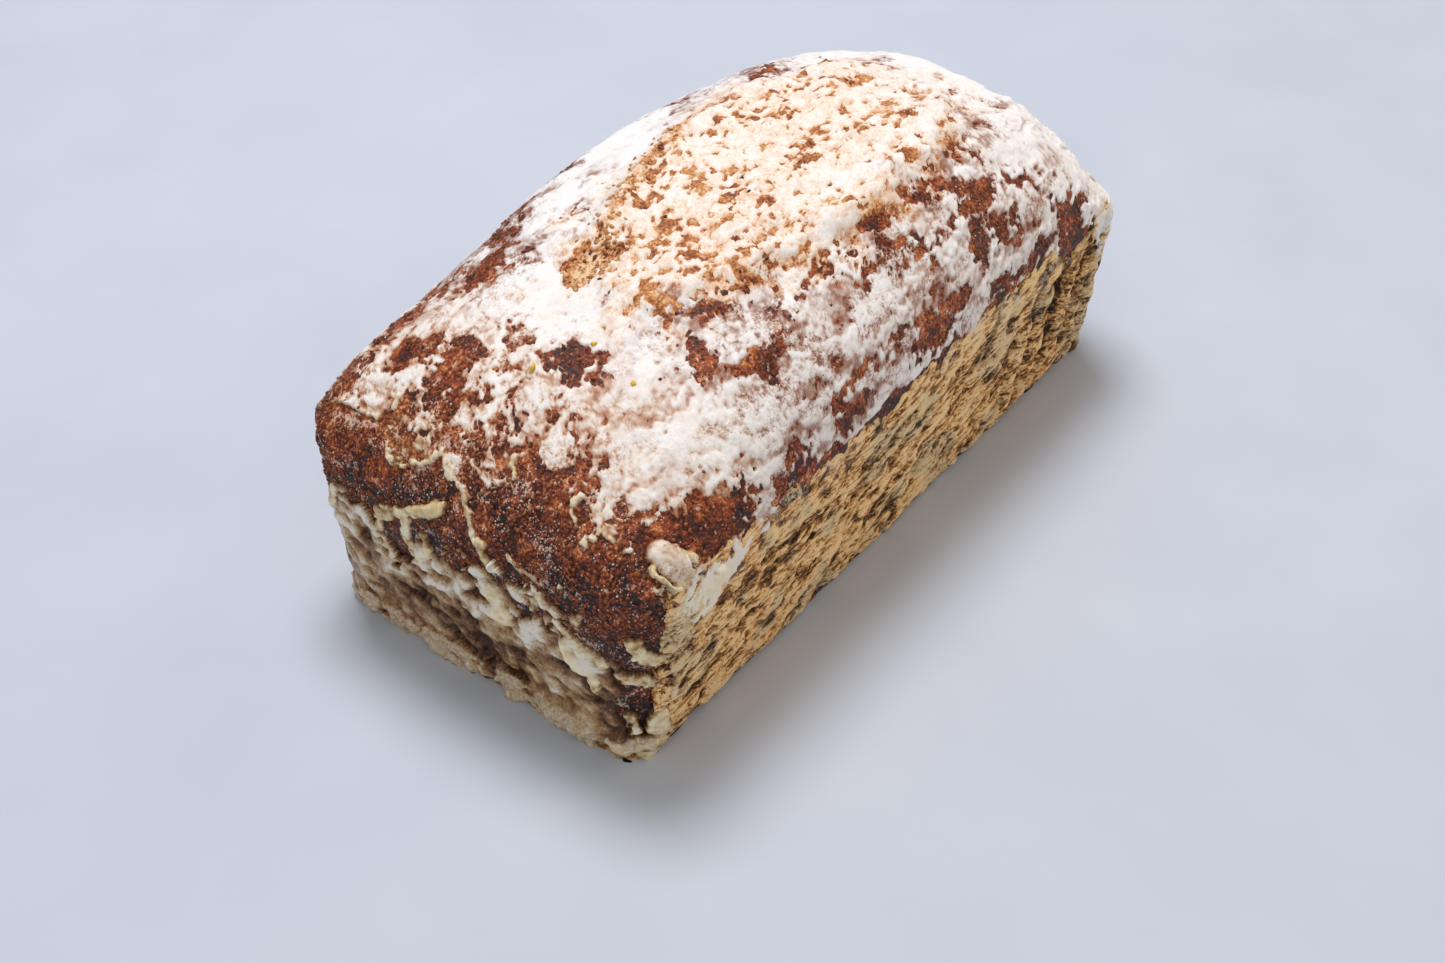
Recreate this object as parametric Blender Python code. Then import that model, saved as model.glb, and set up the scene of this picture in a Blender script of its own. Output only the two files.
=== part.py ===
"""A glazed poppy seed loaf cake, baked in a flared tin and risen over its rim.

The loaf is one closed solid: flared walls up to the height of the tin's rim, a tall crown above
them with a burst crust on top, folds and pores in the long walls, a lumpy coat of glaze low on the
ends, a thin foot of set glaze along the bottom edge and thick drips of glaze fused to the walls.
It stands on the world's ground plane, its length along X, with the burst leaning towards -Y.
"""

import math
from dataclasses import dataclass

import bmesh
import bpy
from mathutils import Matrix, Vector, noise

MM = 0.001

# Driving sizes: the cake as the tin left it
BASE_LENGTH = 209 * MM
BASE_WIDTH = 98 * MM
BASE_CORNER = 8 * MM
RIM_LENGTH = 222 * MM
RIM_WIDTH = 115 * MM
RIM_CORNER_NEAR = 18 * MM
RIM_CORNER_FAR = 22 * MM
RIM_HEIGHT = 52 * MM
CROWN_RISE = 47 * MM
FLARE_POWER = 0.75

# How square the crown is: along the loaf on its two long sides, and across it
CROWN_POWER_NEAR = 3.5
CROWN_POWER_FAR = 2.0
CROWN_POWER_ACROSS = 2.6
CROWN_END_ROUNDING = 2.0
CROWN_SIDE_ROUNDING = 2.4
CLEAR_OF_RIM = 14 * MM

# The burst: an oval where the crust tore open and the crumb pushed up
BURST_CENTRE = Vector((12 * MM, -4 * MM))
BURST_HALF_LENGTH = 74 * MM
BURST_HALF_WIDTH = 29 * MM
BURST_STEP = 2.6 * MM
BURST_LIP = 1.2 * MM

# The torn hole at the near end of the burst, and the seam of crumb along its far edge
TEAR_CENTRE = Vector((-50 * MM, 8 * MM))
TEAR_REACH = Vector((9 * MM, 6 * MM))
TEAR_DEPTH = 3.2 * MM
SEAM_FROM = Vector((-42 * MM, 11 * MM))
SEAM_TO = Vector((34 * MM, 28 * MM))
SEAM_RISE = 2.0 * MM
SEAM_REACH = 4.5 * MM

# Relief of the crown: crags on the burst, long wrinkles beside it
CRAG_HEIGHT = 1.5 * MM
CRAG_SIZE = 12 * MM
WRINKLE_HEIGHT = 0.9 * MM
WRINKLE_SIZE = 8 * MM
WRINKLE_STRETCH = 3

# The ragged foot of glaze along the bottom edge
FOOT_PROUD = 2.6 * MM
FOOT_HEIGHT = 4.0 * MM
FOOT_LUMPS = 9 * MM

# The lumpy coat of glaze on the ends, from just over the foot to an uneven upper edge
END_STARTS = 101 * MM
END_WHOLE = 106 * MM
COAT_PROUD = 1.5 * MM
COAT_LOW = 14 * MM
COAT_HIGH = 41 * MM
COAT_EDGE = 2 * MM
COAT_DIP = 10 * MM
COAT_DIP_AT = 22 * MM
COAT_LUMPS = 10 * MM

# Relief of the long walls: slanting pores, upright folds near the far end and one deep groove
WALL_ROUGHNESS = 0.5 * MM
PORE_DEPTH = 1.6 * MM
PORE_SIZE = 5 * MM
PORE_SLANT = 0.6
FOLD_DEPTH = 1.4 * MM
FOLD_PITCH = 10.7 * MM
FOLDS_START = 45 * MM
FOLDS_WHOLE = 60 * MM
GROOVE_AT = 71 * MM
GROOVE_DEPTH = 2.4 * MM
GROOVE_REACH = 3 * MM

# Faces along, across and up the loaf
CELLS_ALONG = 62
CELLS_ACROSS = 30
CELLS_UP = 16

CRUST_COLOUR = (0.16, 0.048, 0.02, 1.0)
CRUST_ROUGHNESS = 0.8

# Drops of glaze
DRIP_SEGMENTS = 10
DRIP_RINGS = 7
DRIP_THICKNESS = 0.65
THICKEST_DRIP = 5.5
DRIP_TAPER = 0.5
PROBE = 0.5 * MM


@dataclass(frozen=True)
class Swell:
    """A broad rise or sag of the crown, in millimetres: where, how much and how far it reaches."""

    x: float
    y: float
    rise: float
    reach_x: float
    reach_y: float


SWELLS = (
    Swell(-4, 48, 4.2, 38, 13),
    Swell(96, 6, 3.2, 13, 24),
    Swell(104, -46, -7.5, 11, 14),
    Swell(-94, 50, 3.0, 16, 9),
    Swell(80, 46, -2.0, 20, 10),
    Swell(-66, 10, -2.0, 12, 12),
    Swell(30, -34, 1.6, 34, 9),
)


@dataclass(frozen=True)
class Drip:
    """A thick drop of set glaze on a wall: where round the loaf, how high, how wide and how long."""

    wall: str
    along: float
    height: float
    width: float
    length: float
    lean: float = 0.0


DRIPS = (
    Drip("end", 21, 63, 8, 10, -10),
    Drip("end", 5, 67, 9, 9, 12),
    Drip("end", -15, 73, 12, 7),
    Drip("end", -33, 71, 10, 8, 10),
    Drip("end", -12, 57, 6, 13, 8),
    Drip("end", 24, 44, 9, 14, -28),
    Drip("end", 17, 34, 7, 12),
    Drip("end", -10, 37, 7, 12),
    Drip("end", -34, 52, 9, 9, 18),
    Drip("end", -51, 41, 6, 9),
    Drip("end", -39, 31, 9, 12, 15),
    Drip("end", -52, 20, 7, 10),
    Drip("end", 35, 14, 5, 4),
    Drip("near", -95, 66, 12, 12),
    Drip("near", -89, 49, 6, 14, 12),
    Drip("near", -97, 29, 6, 9),
    Drip("near", -99, 10, 12, 12, 20),
)


def clamp(value, low, high):
    """value kept between low and high."""
    return max(low, min(high, value))


def smooth_step(value, low, high):
    """0 below low, 1 above high and an even curve between."""
    share = clamp((value - low) / (high - low), 0.0, 1.0)
    return share * share * (3 - 2 * share)


def bell(value, middle, spread):
    """A smooth bump of height 1 at middle."""
    return math.exp(-(((value - middle) / spread) ** 2))


def grain(x, y, z, size, seed=0.0):
    """Even noise between -1 and 1 whose lumps are about size across."""
    return noise.noise(Vector((x / size + seed, y / size - seed, z / size + 2 * seed)))


def crags(x, y, z, size, seed=0.0):
    """Rough noise between about -1 and 1, with two sizes of lump."""
    return grain(x, y, z, size, seed) + 0.5 * grain(x, y, z, size / 2, seed + 7)


def plan_point(u, v, half_length, half_width, corner):
    """The point of a rounded rectangle that answers to (u, v) on the square's edge."""
    x, y = u * half_length, v * half_width
    inner_x = clamp(x, corner - half_length, half_length - corner)
    inner_y = clamp(y, corner - half_width, half_width - corner)
    out = Vector((x - inner_x, y - inner_y))
    if out.length == 0:
        return Vector((x, y))
    return Vector((inner_x, inner_y)) + out.normalized() * corner


def wall_point(u, v, share):
    """The wall at (u, v) on the square's edge, share of the way up from the base to the rim."""
    flare = share**FLARE_POWER
    half_length = (BASE_LENGTH + (RIM_LENGTH - BASE_LENGTH) * flare) / 2
    half_width = (BASE_WIDTH + (RIM_WIDTH - BASE_WIDTH) * flare) / 2
    rim_corner = RIM_CORNER_NEAR if u < 0 else RIM_CORNER_FAR
    corner = BASE_CORNER + (rim_corner - BASE_CORNER) * flare
    flat = plan_point(u, v, half_length, half_width, corner)
    return Vector((flat.x, flat.y, share * RIM_HEIGHT))


def crown_height(x, y):
    """Height of the plain crown above the rim."""
    across = clamp(abs(y) / (RIM_WIDTH / 2), 0.0, 1.0)
    along = clamp(abs(x) / (RIM_LENGTH / 2), 0.0, 1.0)
    far = clamp((y / (RIM_WIDTH / 2) + 1) / 2, 0.0, 1.0)
    power = CROWN_POWER_NEAR + (CROWN_POWER_FAR - CROWN_POWER_NEAR) * far
    end = (1 - along**power) ** (1 / CROWN_END_ROUNDING)
    side = (1 - across**CROWN_POWER_ACROSS) ** (1 / CROWN_SIDE_ROUNDING)
    return CROWN_RISE * end * side


def swells(x, y):
    """What the broad rises and sags add to the crown."""
    total = 0.0
    for swell in SWELLS:
        away = ((x / MM - swell.x) / swell.reach_x) ** 2 + ((y / MM - swell.y) / swell.reach_y) ** 2
        total += swell.rise * MM * math.exp(-away)
    return total


def seam(x, y):
    """1 on the seam of crumb along the far edge of the burst, falling to 0 beside it."""
    run = SEAM_TO - SEAM_FROM
    share = clamp((Vector((x, y)) - SEAM_FROM).dot(run) / run.length_squared, 0.0, 1.0)
    bend = 3 * MM * math.sin(math.pi * share)
    nearest = SEAM_FROM + run * share + Vector((0, bend))
    return bell((Vector((x, y)) - nearest).length, 0, SEAM_REACH)


def burst_share(x, y):
    """Above 1 inside the burst's oval, 1 on its torn edge, and below 1 outside."""
    ragged = 0.10 * grain(x, y, 0, 16 * MM, 3) + 0.05 * grain(x, y, 0, 6 * MM, 5)
    reach = math.hypot(
        (x - BURST_CENTRE.x) / BURST_HALF_LENGTH, (y - BURST_CENTRE.y) / BURST_HALF_WIDTH
    )
    return 2 - reach + ragged


def crown_relief(x, y):
    """What the burst, its crags and the folds of glaze beside it add to the crown."""
    inside = burst_share(x, y)
    step = BURST_STEP * smooth_step(inside, 0.93, 1.08)
    lip = BURST_LIP * bell(inside, 1.08, 0.08)
    rough = CRAG_HEIGHT * (0.35 + 0.65 * smooth_step(inside, 0.95, 1.1)) * crags(x, y, 0, CRAG_SIZE)
    outer = 1 - smooth_step(inside, 0.8, 1.0)
    wrinkle = WRINKLE_HEIGHT * outer * grain(x / WRINKLE_STRETCH, y, 0, WRINKLE_SIZE, 11)
    away = Vector(((x - TEAR_CENTRE.x) / TEAR_REACH.x, (y - TEAR_CENTRE.y) / TEAR_REACH.y)).length
    tear = TEAR_DEPTH * bell(away, 0, 1)
    return step + lip + rough + wrinkle + SEAM_RISE * seam(x, y) - tear - BURST_STEP / 2


def foot_relief(x, y, z):
    """The ragged foot of glaze that ran down and set along the bottom edge."""
    low = 1 - smooth_step(z, 0.4 * FOOT_HEIGHT, FOOT_HEIGHT)
    return low * FOOT_PROUD * (0.55 + 0.45 * grain(x, y, 0, FOOT_LUMPS, 23))


def coat_relief(x, y, z):
    """The lumpy coat of glaze on an end, with an uneven upper edge."""
    ragged = 3 * MM * crags(x, y, 0, CRAG_SIZE, 29) + COAT_DIP * bell(y, COAT_DIP_AT, COAT_DIP)
    coat = smooth_step(z, COAT_LOW - COAT_EDGE, COAT_LOW + COAT_EDGE)
    coat *= 1 - smooth_step(z + ragged, COAT_HIGH - COAT_EDGE, COAT_HIGH + COAT_EDGE)
    return coat * COAT_PROUD * (0.8 + 0.5 * grain(x, y, z, COAT_LUMPS, 31))


def side_relief(x, y, z, share):
    """Pores, folds and the deep groove of a long wall."""
    pores = max(0.0, grain(x + PORE_SLANT * z, y, PORE_SLANT * z, PORE_SIZE, 37) - 0.1)
    folded = smooth_step(x, FOLDS_START, FOLDS_WHOLE) * smooth_step(z, 2 * MM, 15 * MM)
    wave = math.sin(2 * math.pi * x / FOLD_PITCH + 3 * grain(x, y, z, 2 * FOLD_PITCH, 41))
    amount = folded * FOLD_DEPTH * wave - PORE_DEPTH * pores
    if y < 0:
        groove = bell(x, GROOVE_AT, GROOVE_REACH) * smooth_step(share, 0.4, 0.8)
        amount -= GROOVE_DEPTH * groove
    return amount


def wall_relief(point, share):
    """How far the wall stands proud of its plain form at a point, share of the way up."""
    x, y, z = point
    end = smooth_step(abs(x), END_STARTS, END_WHOLE)
    amount = WALL_ROUGHNESS * crags(x, y, z, FOOT_LUMPS, 17) + foot_relief(x, y, z)
    return amount + end * coat_relief(x, y, z) + (1 - end) * side_relief(x, y, z, share)


def outward(u, v, share):
    """The level direction in which the wall faces at (u, v)."""
    before = wall_point(u, v, share)
    edge = 0.004
    if abs(u) >= abs(v):
        beside = wall_point(u, clamp(v + edge, -1, 1), share) - wall_point(u, clamp(v - edge, -1, 1), share)
    else:
        beside = wall_point(clamp(u + edge, -1, 1), v, share) - wall_point(clamp(u - edge, -1, 1), v, share)
    level = Vector((beside.y, -beside.x, 0)).normalized()
    return level if level.dot(Vector((before.x, before.y, 0))) > 0 else -level


def shaped(u, v, w):
    """Carries a point of the cube's surface to the loaf's surface."""
    ring = max(abs(u), abs(v))
    on_wall = ring > 1 - 1e-6
    if on_wall:
        share = (w + 1) / 2
        plain = wall_point(u, v, share)
        facing = outward(u, v, share)
        fade = 1 - smooth_step(share, 0.94, 1.0)
        return plain + facing * wall_relief(plain, share) * fade
    edge = wall_point(u / ring, v / ring, 1.0 if w > 0 else 0.0) if ring > 0 else Vector((0, 0, 0))
    if w < 0:
        return Vector((edge.x * ring, edge.y * ring, 0))
    reach = math.sin(ring * math.pi / 2)
    x, y = edge.x * reach, edge.y * reach
    rise = crown_height(x, y)
    clear = smooth_step(rise, 0, CLEAR_OF_RIM)
    return Vector((x, y, RIM_HEIGHT + rise + clear * (swells(x, y) + crown_relief(x, y))))


def split_edges(mesh, axis, cells):
    """Cuts every edge of the cube that runs along an axis into equal cells."""
    along = [e for e in mesh.edges if abs((e.verts[0].co - e.verts[1].co).normalized()[axis]) > 0.99]
    bmesh.ops.subdivide_edges(mesh, edges=along, cuts=cells - 1, use_grid_fill=True)


def flatten_base(mesh):
    """Joins the cells of the base into one flat face to stand on."""
    below = [f for f in mesh.faces if all(abs(v.co.z) < 1e-7 for v in f.verts)]
    bmesh.ops.dissolve_faces(mesh, faces=below, use_verts=True)


def loaf_mesh():
    """The loaf's body: a cube in cells, each point carried to the loaf's surface."""
    mesh = bmesh.new()
    bmesh.ops.create_cube(mesh, size=2)
    for axis, cells in enumerate((CELLS_ALONG, CELLS_ACROSS, CELLS_UP)):
        split_edges(mesh, axis, cells)
    for vertex in mesh.verts:
        vertex.co = shaped(*vertex.co)
    flatten_base(mesh)
    bmesh.ops.recalc_face_normals(mesh, faces=mesh.faces)
    body = bpy.data.meshes.new("loaf body")
    mesh.to_mesh(body)
    mesh.free()
    return body


def surface_at(wall, along, height):
    """A point on a wall or just over its rim, and the direction in which it faces there."""
    x = -RIM_LENGTH / 2 if wall == "end" else along
    y = along if wall == "end" else -RIM_WIDTH / 2
    u, v = x / (RIM_LENGTH / 2), y / (RIM_WIDTH / 2)
    share = min(height / RIM_HEIGHT, 1.0)
    point = wall_point(u, v, share)
    facing = outward(u, v, share)
    if height <= RIM_HEIGHT:
        return point, facing
    flat = Vector((point.x, point.y, 0))
    inward = 1.0
    while RIM_HEIGHT + crown_height(flat.x * inward, flat.y * inward) < height:
        inward -= 0.001
    point = Vector((flat.x * inward, flat.y * inward, height))
    ahead = crown_height(point.x - facing.x * PROBE, point.y - facing.y * PROBE)
    rise = (ahead - (height - RIM_HEIGHT)) / PROBE
    return point, (facing * rise + Vector((0, 0, 1))).normalized()


def make_drip(drip, number, collection):
    """One drop of glaze: a flattened ball, drawn out down the wall and sunk half into it."""
    point, facing = surface_at(drip.wall, drip.along * MM, drip.height * MM)
    mesh = bmesh.new()
    bmesh.ops.create_uvsphere(mesh, u_segments=DRIP_SEGMENTS, v_segments=DRIP_RINGS, radius=0.5)
    thickness = min(DRIP_THICKNESS * drip.width, THICKEST_DRIP)
    for vertex in mesh.verts:
        fuller = 1 - DRIP_TAPER * (vertex.co.y + 0.5)
        vertex.co.x *= drip.width * MM * fuller
        vertex.co.y *= drip.length * MM
        vertex.co.z *= thickness * MM * fuller
    up = Vector((0, 0, 1))
    beside = up.cross(facing).normalized()
    turn = Matrix((beside, facing.cross(beside), facing)).transposed()
    place = Matrix.Translation(point) @ turn.to_4x4() @ Matrix.Rotation(math.radians(drip.lean), 4, "Z")
    bmesh.ops.transform(mesh, matrix=place, verts=mesh.verts)
    bmesh.ops.recalc_face_normals(mesh, faces=mesh.faces)
    data = bpy.data.meshes.new(f"drip {number}")
    mesh.to_mesh(data)
    mesh.free()
    collection.objects.link(bpy.data.objects.new(f"drip {number}", data))


def crust_material():
    """Baked crust under a thin sugar glaze."""
    material = bpy.data.materials.new("glazed crust")
    material.use_nodes = True
    shader = material.node_tree.nodes["Principled BSDF"]
    shader.inputs["Base Color"].default_value = CRUST_COLOUR
    shader.inputs["Roughness"].default_value = CRUST_ROUGHNESS
    shader.inputs["Metallic"].default_value = 0.0
    return material


def new_collection(name):
    """A collection under the scene's own."""
    collection = bpy.data.collections.new(name)
    bpy.context.scene.collection.children.link(collection)
    return collection


def clear_scene():
    """Removes what the scene starts with."""
    for thing in list(bpy.data.objects):
        bpy.data.objects.remove(thing, do_unlink=True)


def fuse(body, drips):
    """Joins the drips to the loaf in one union, applies it and removes them."""
    union = body.modifiers.new("drips", "BOOLEAN")
    union.operation = "UNION"
    union.operand_type = "COLLECTION"
    union.collection = drips
    union.solver = "EXACT"
    bpy.context.view_layer.update()
    joined = bpy.data.meshes.new_from_object(body.evaluated_get(bpy.context.evaluated_depsgraph_get()))
    body.modifiers.remove(union)
    body.data = joined
    joined.name = "poppy seed loaf"
    for drip in list(drips.objects):
        bpy.data.objects.remove(drip, do_unlink=True)
    bpy.data.collections.remove(drips)


def centre(mesh):
    """Moves the mesh level so that the middle of its box is over the origin."""
    low = Vector((min(v.co.x for v in mesh.vertices), min(v.co.y for v in mesh.vertices), 0))
    high = Vector((max(v.co.x for v in mesh.vertices), max(v.co.y for v in mesh.vertices), 0))
    mesh.transform(Matrix.Translation(-(low + high) / 2))


def main():
    """Builds the loaf."""
    clear_scene()
    cake = new_collection("poppy seed cake")
    loaf = bpy.data.objects.new("poppy_seed_loaf", loaf_mesh())
    cake.objects.link(loaf)
    drips = new_collection("glaze drips")
    for number, drip in enumerate(DRIPS):
        make_drip(drip, number, drips)
    fuse(loaf, drips)
    centre(loaf.data)
    loaf.data.materials.clear()
    loaf.data.materials.append(crust_material())
    loaf.data.shade_smooth()
    loaf.data.set_sharp_from_angle(angle=math.radians(50))


main()
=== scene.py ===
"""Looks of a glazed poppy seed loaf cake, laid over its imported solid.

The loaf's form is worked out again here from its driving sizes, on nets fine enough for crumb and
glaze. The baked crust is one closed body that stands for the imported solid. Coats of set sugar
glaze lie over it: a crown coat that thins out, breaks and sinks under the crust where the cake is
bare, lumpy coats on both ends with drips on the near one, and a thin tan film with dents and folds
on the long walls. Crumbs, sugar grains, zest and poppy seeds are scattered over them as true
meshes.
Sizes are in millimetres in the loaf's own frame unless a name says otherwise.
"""

import itertools
import logging
import math
from dataclasses import dataclass, field
from enum import Enum
from functools import cached_property, partial

import bpy
import numpy as np
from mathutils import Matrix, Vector

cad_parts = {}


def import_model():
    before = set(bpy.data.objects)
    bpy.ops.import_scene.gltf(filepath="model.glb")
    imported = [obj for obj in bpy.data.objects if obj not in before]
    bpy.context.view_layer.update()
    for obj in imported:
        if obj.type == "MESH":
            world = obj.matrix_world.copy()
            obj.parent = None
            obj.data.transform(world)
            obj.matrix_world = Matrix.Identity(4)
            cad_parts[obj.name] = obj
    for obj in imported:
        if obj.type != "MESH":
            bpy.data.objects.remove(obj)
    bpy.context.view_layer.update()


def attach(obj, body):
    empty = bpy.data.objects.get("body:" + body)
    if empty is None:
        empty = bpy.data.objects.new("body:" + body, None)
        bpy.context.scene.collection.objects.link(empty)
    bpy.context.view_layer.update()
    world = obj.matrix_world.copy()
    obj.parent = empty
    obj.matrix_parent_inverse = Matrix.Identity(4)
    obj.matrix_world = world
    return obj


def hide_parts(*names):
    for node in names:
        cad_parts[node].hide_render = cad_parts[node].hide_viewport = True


MM = 0.001
NODE = "poppy_seed_loaf"
BODY = "root"

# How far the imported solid's box centre lies from the middle of the tin
SHIFT = np.array((0.966, 0.401, 0.0))

log = logging.getLogger("cake")

Array = np.ndarray
Point = tuple[float, float, float]
Socket = bpy.types.NodeSocket
Tree = bpy.types.NodeTree
Node = bpy.types.Node
Object = bpy.types.Object
Material = bpy.types.Material


# ---- Small helpers ----


def smooth(value: Array, low: float, high: float) -> Array:
    """0 below low, 1 above high and an even curve between."""
    share = np.clip((value - low) / (high - low), 0.0, 1.0)
    return share * share * (3 - 2 * share)


def end_share(x: Array) -> Array:
    """1 on the loaf's two ends, 0 on its long walls."""
    return smooth(np.abs(x), 98, 103)


def bell(value: Array, middle: float, spread: float) -> Array:
    """A smooth bump of height 1 at middle."""
    return np.exp(-(((value - middle) / spread) ** 2))


def colour(code: str) -> tuple[float, float, float, float]:
    """A hex sRGB colour as the linear values that shaders take.

    Args:
        code: six hex digits.

    Returns:
        Linear red, green, blue and an alpha of 1.
    """
    parts = [int(code[k : k + 2], 16) / 255 for k in (0, 2, 4)]
    linear = [p / 12.92 if p <= 0.04045 else ((p + 0.055) / 1.055) ** 2.4 for p in parts]
    return (linear[0], linear[1], linear[2], 1.0)


class Grain:
    """Seeded gradient noise over points in millimetres, between about -1 and 1."""

    def __init__(self, seed: int) -> None:
        """Draws the noise's table.

        Args:
            seed: picks one noise from all.
        """
        chooser = np.random.default_rng(seed)
        self._order = np.tile(chooser.permutation(256), 2)
        slopes = chooser.normal(size=(256, 3))
        self._slopes = slopes / np.linalg.norm(slopes, axis=1, keepdims=True)

    def at(self, points: Array, size: float) -> Array:
        """Noise whose lumps are about size across.

        Args:
            points: rows of three coordinates.
            size: the lumps' size in the points' unit.

        Returns:
            One value for each row.
        """
        place = points / size + 64.3
        cell = np.floor(place).astype(np.int64)
        within = place - cell
        fade = within**3 * (within * (within * 6 - 15) + 10)
        total = np.zeros(len(points))
        for corner in itertools.product((0, 1), repeat=3):
            key = (cell + corner) & 255
            index = self._order[self._order[self._order[key[:, 0]] + key[:, 1]] + key[:, 2]]
            part = np.einsum("ij,ij->i", self._slopes[index], within - corner)
            weight = np.ones(len(points))
            for axis, far in enumerate(corner):
                weight *= fade[:, axis] if far else 1 - fade[:, axis]
            total += part * weight
        return total * 1.8

    def layers(self, points: Array, *layers: tuple[float, float]) -> Array:
        """The sum of several sizes of lump.

        Args:
            points: rows of three coordinates.
            layers: pairs of lump size and height.

        Returns:
            One value for each row.
        """
        total = np.zeros(len(points))
        for number, (size, amount) in enumerate(layers):
            total += amount * self.at(points + 31.7 * number, size)
        return total


def slanted(points: Array, stretch: float, tilt: float) -> Array:
    """Points whose noise comes out as streaks along the loaf, tilted up towards its far end.

    Args:
        points: rows of x, y, z.
        stretch: how many times longer than high the streaks are.
        tilt: degrees that they rise by.

    Returns:
        The changed points.
    """
    turn = math.radians(tilt)
    along = points[:, 0] * math.cos(turn) + points[:, 2] * math.sin(turn)
    up = points[:, 2] * math.cos(turn) - points[:, 0] * math.sin(turn)
    return np.stack((along / stretch, points[:, 1], up), axis=1)
def flat(x: Array, y: Array) -> Array:
    """The points (x, y) on the plane z = 0."""
    return np.stack((x, y, 0 * x), axis=1)


def lifted(points: Array, facing: Array, depth: Array) -> Array:
    """Points moved out along their normals by a depth, but never below the base.

    Args:
        points: rows of x, y, z.
        facing: the normals at the points.
        depth: how far out each point moves.

    Returns:
        The moved points.
    """
    moved = points + facing * depth[:, None]
    moved[:, 2] = np.maximum(moved[:, 2], 0.0)
    return moved


def link(name: str, data: bpy.types.ID) -> Object:
    """Makes an object of some data and puts it into the scene.

    Args:
        name: the object's name.
        data: its mesh, light or camera.

    Returns:
        The object.
    """
    made = bpy.data.objects.new(name, data)
    bpy.context.scene.collection.objects.link(made)
    return made


# ---- The loaf's form ----


@dataclass(frozen=True)
class Swell:
    """A broad rise or sag of the crown: where, how much and how far it reaches."""

    x: float
    y: float
    rise: float
    reach_x: float
    reach_y: float

    def at(self, x: Array, y: Array) -> Array:
        """What it adds at a place."""
        out = -(((x - self.x) / self.reach_x) ** 2) - ((y - self.y) / self.reach_y) ** 2
        return self.rise * np.exp(out)


SWELLS = (
    Swell(-4, 48, 4.2, 38, 13), Swell(96, 6, 3.2, 13, 24), Swell(104, -46, -7.5, 11, 14),
    Swell(-94, 50, 3.0, 16, 9), Swell(80, 46, -2.0, 20, 10), Swell(-66, 10, -2.0, 12, 12),
    Swell(30, -34, 1.6, 34, 9),
)


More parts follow.
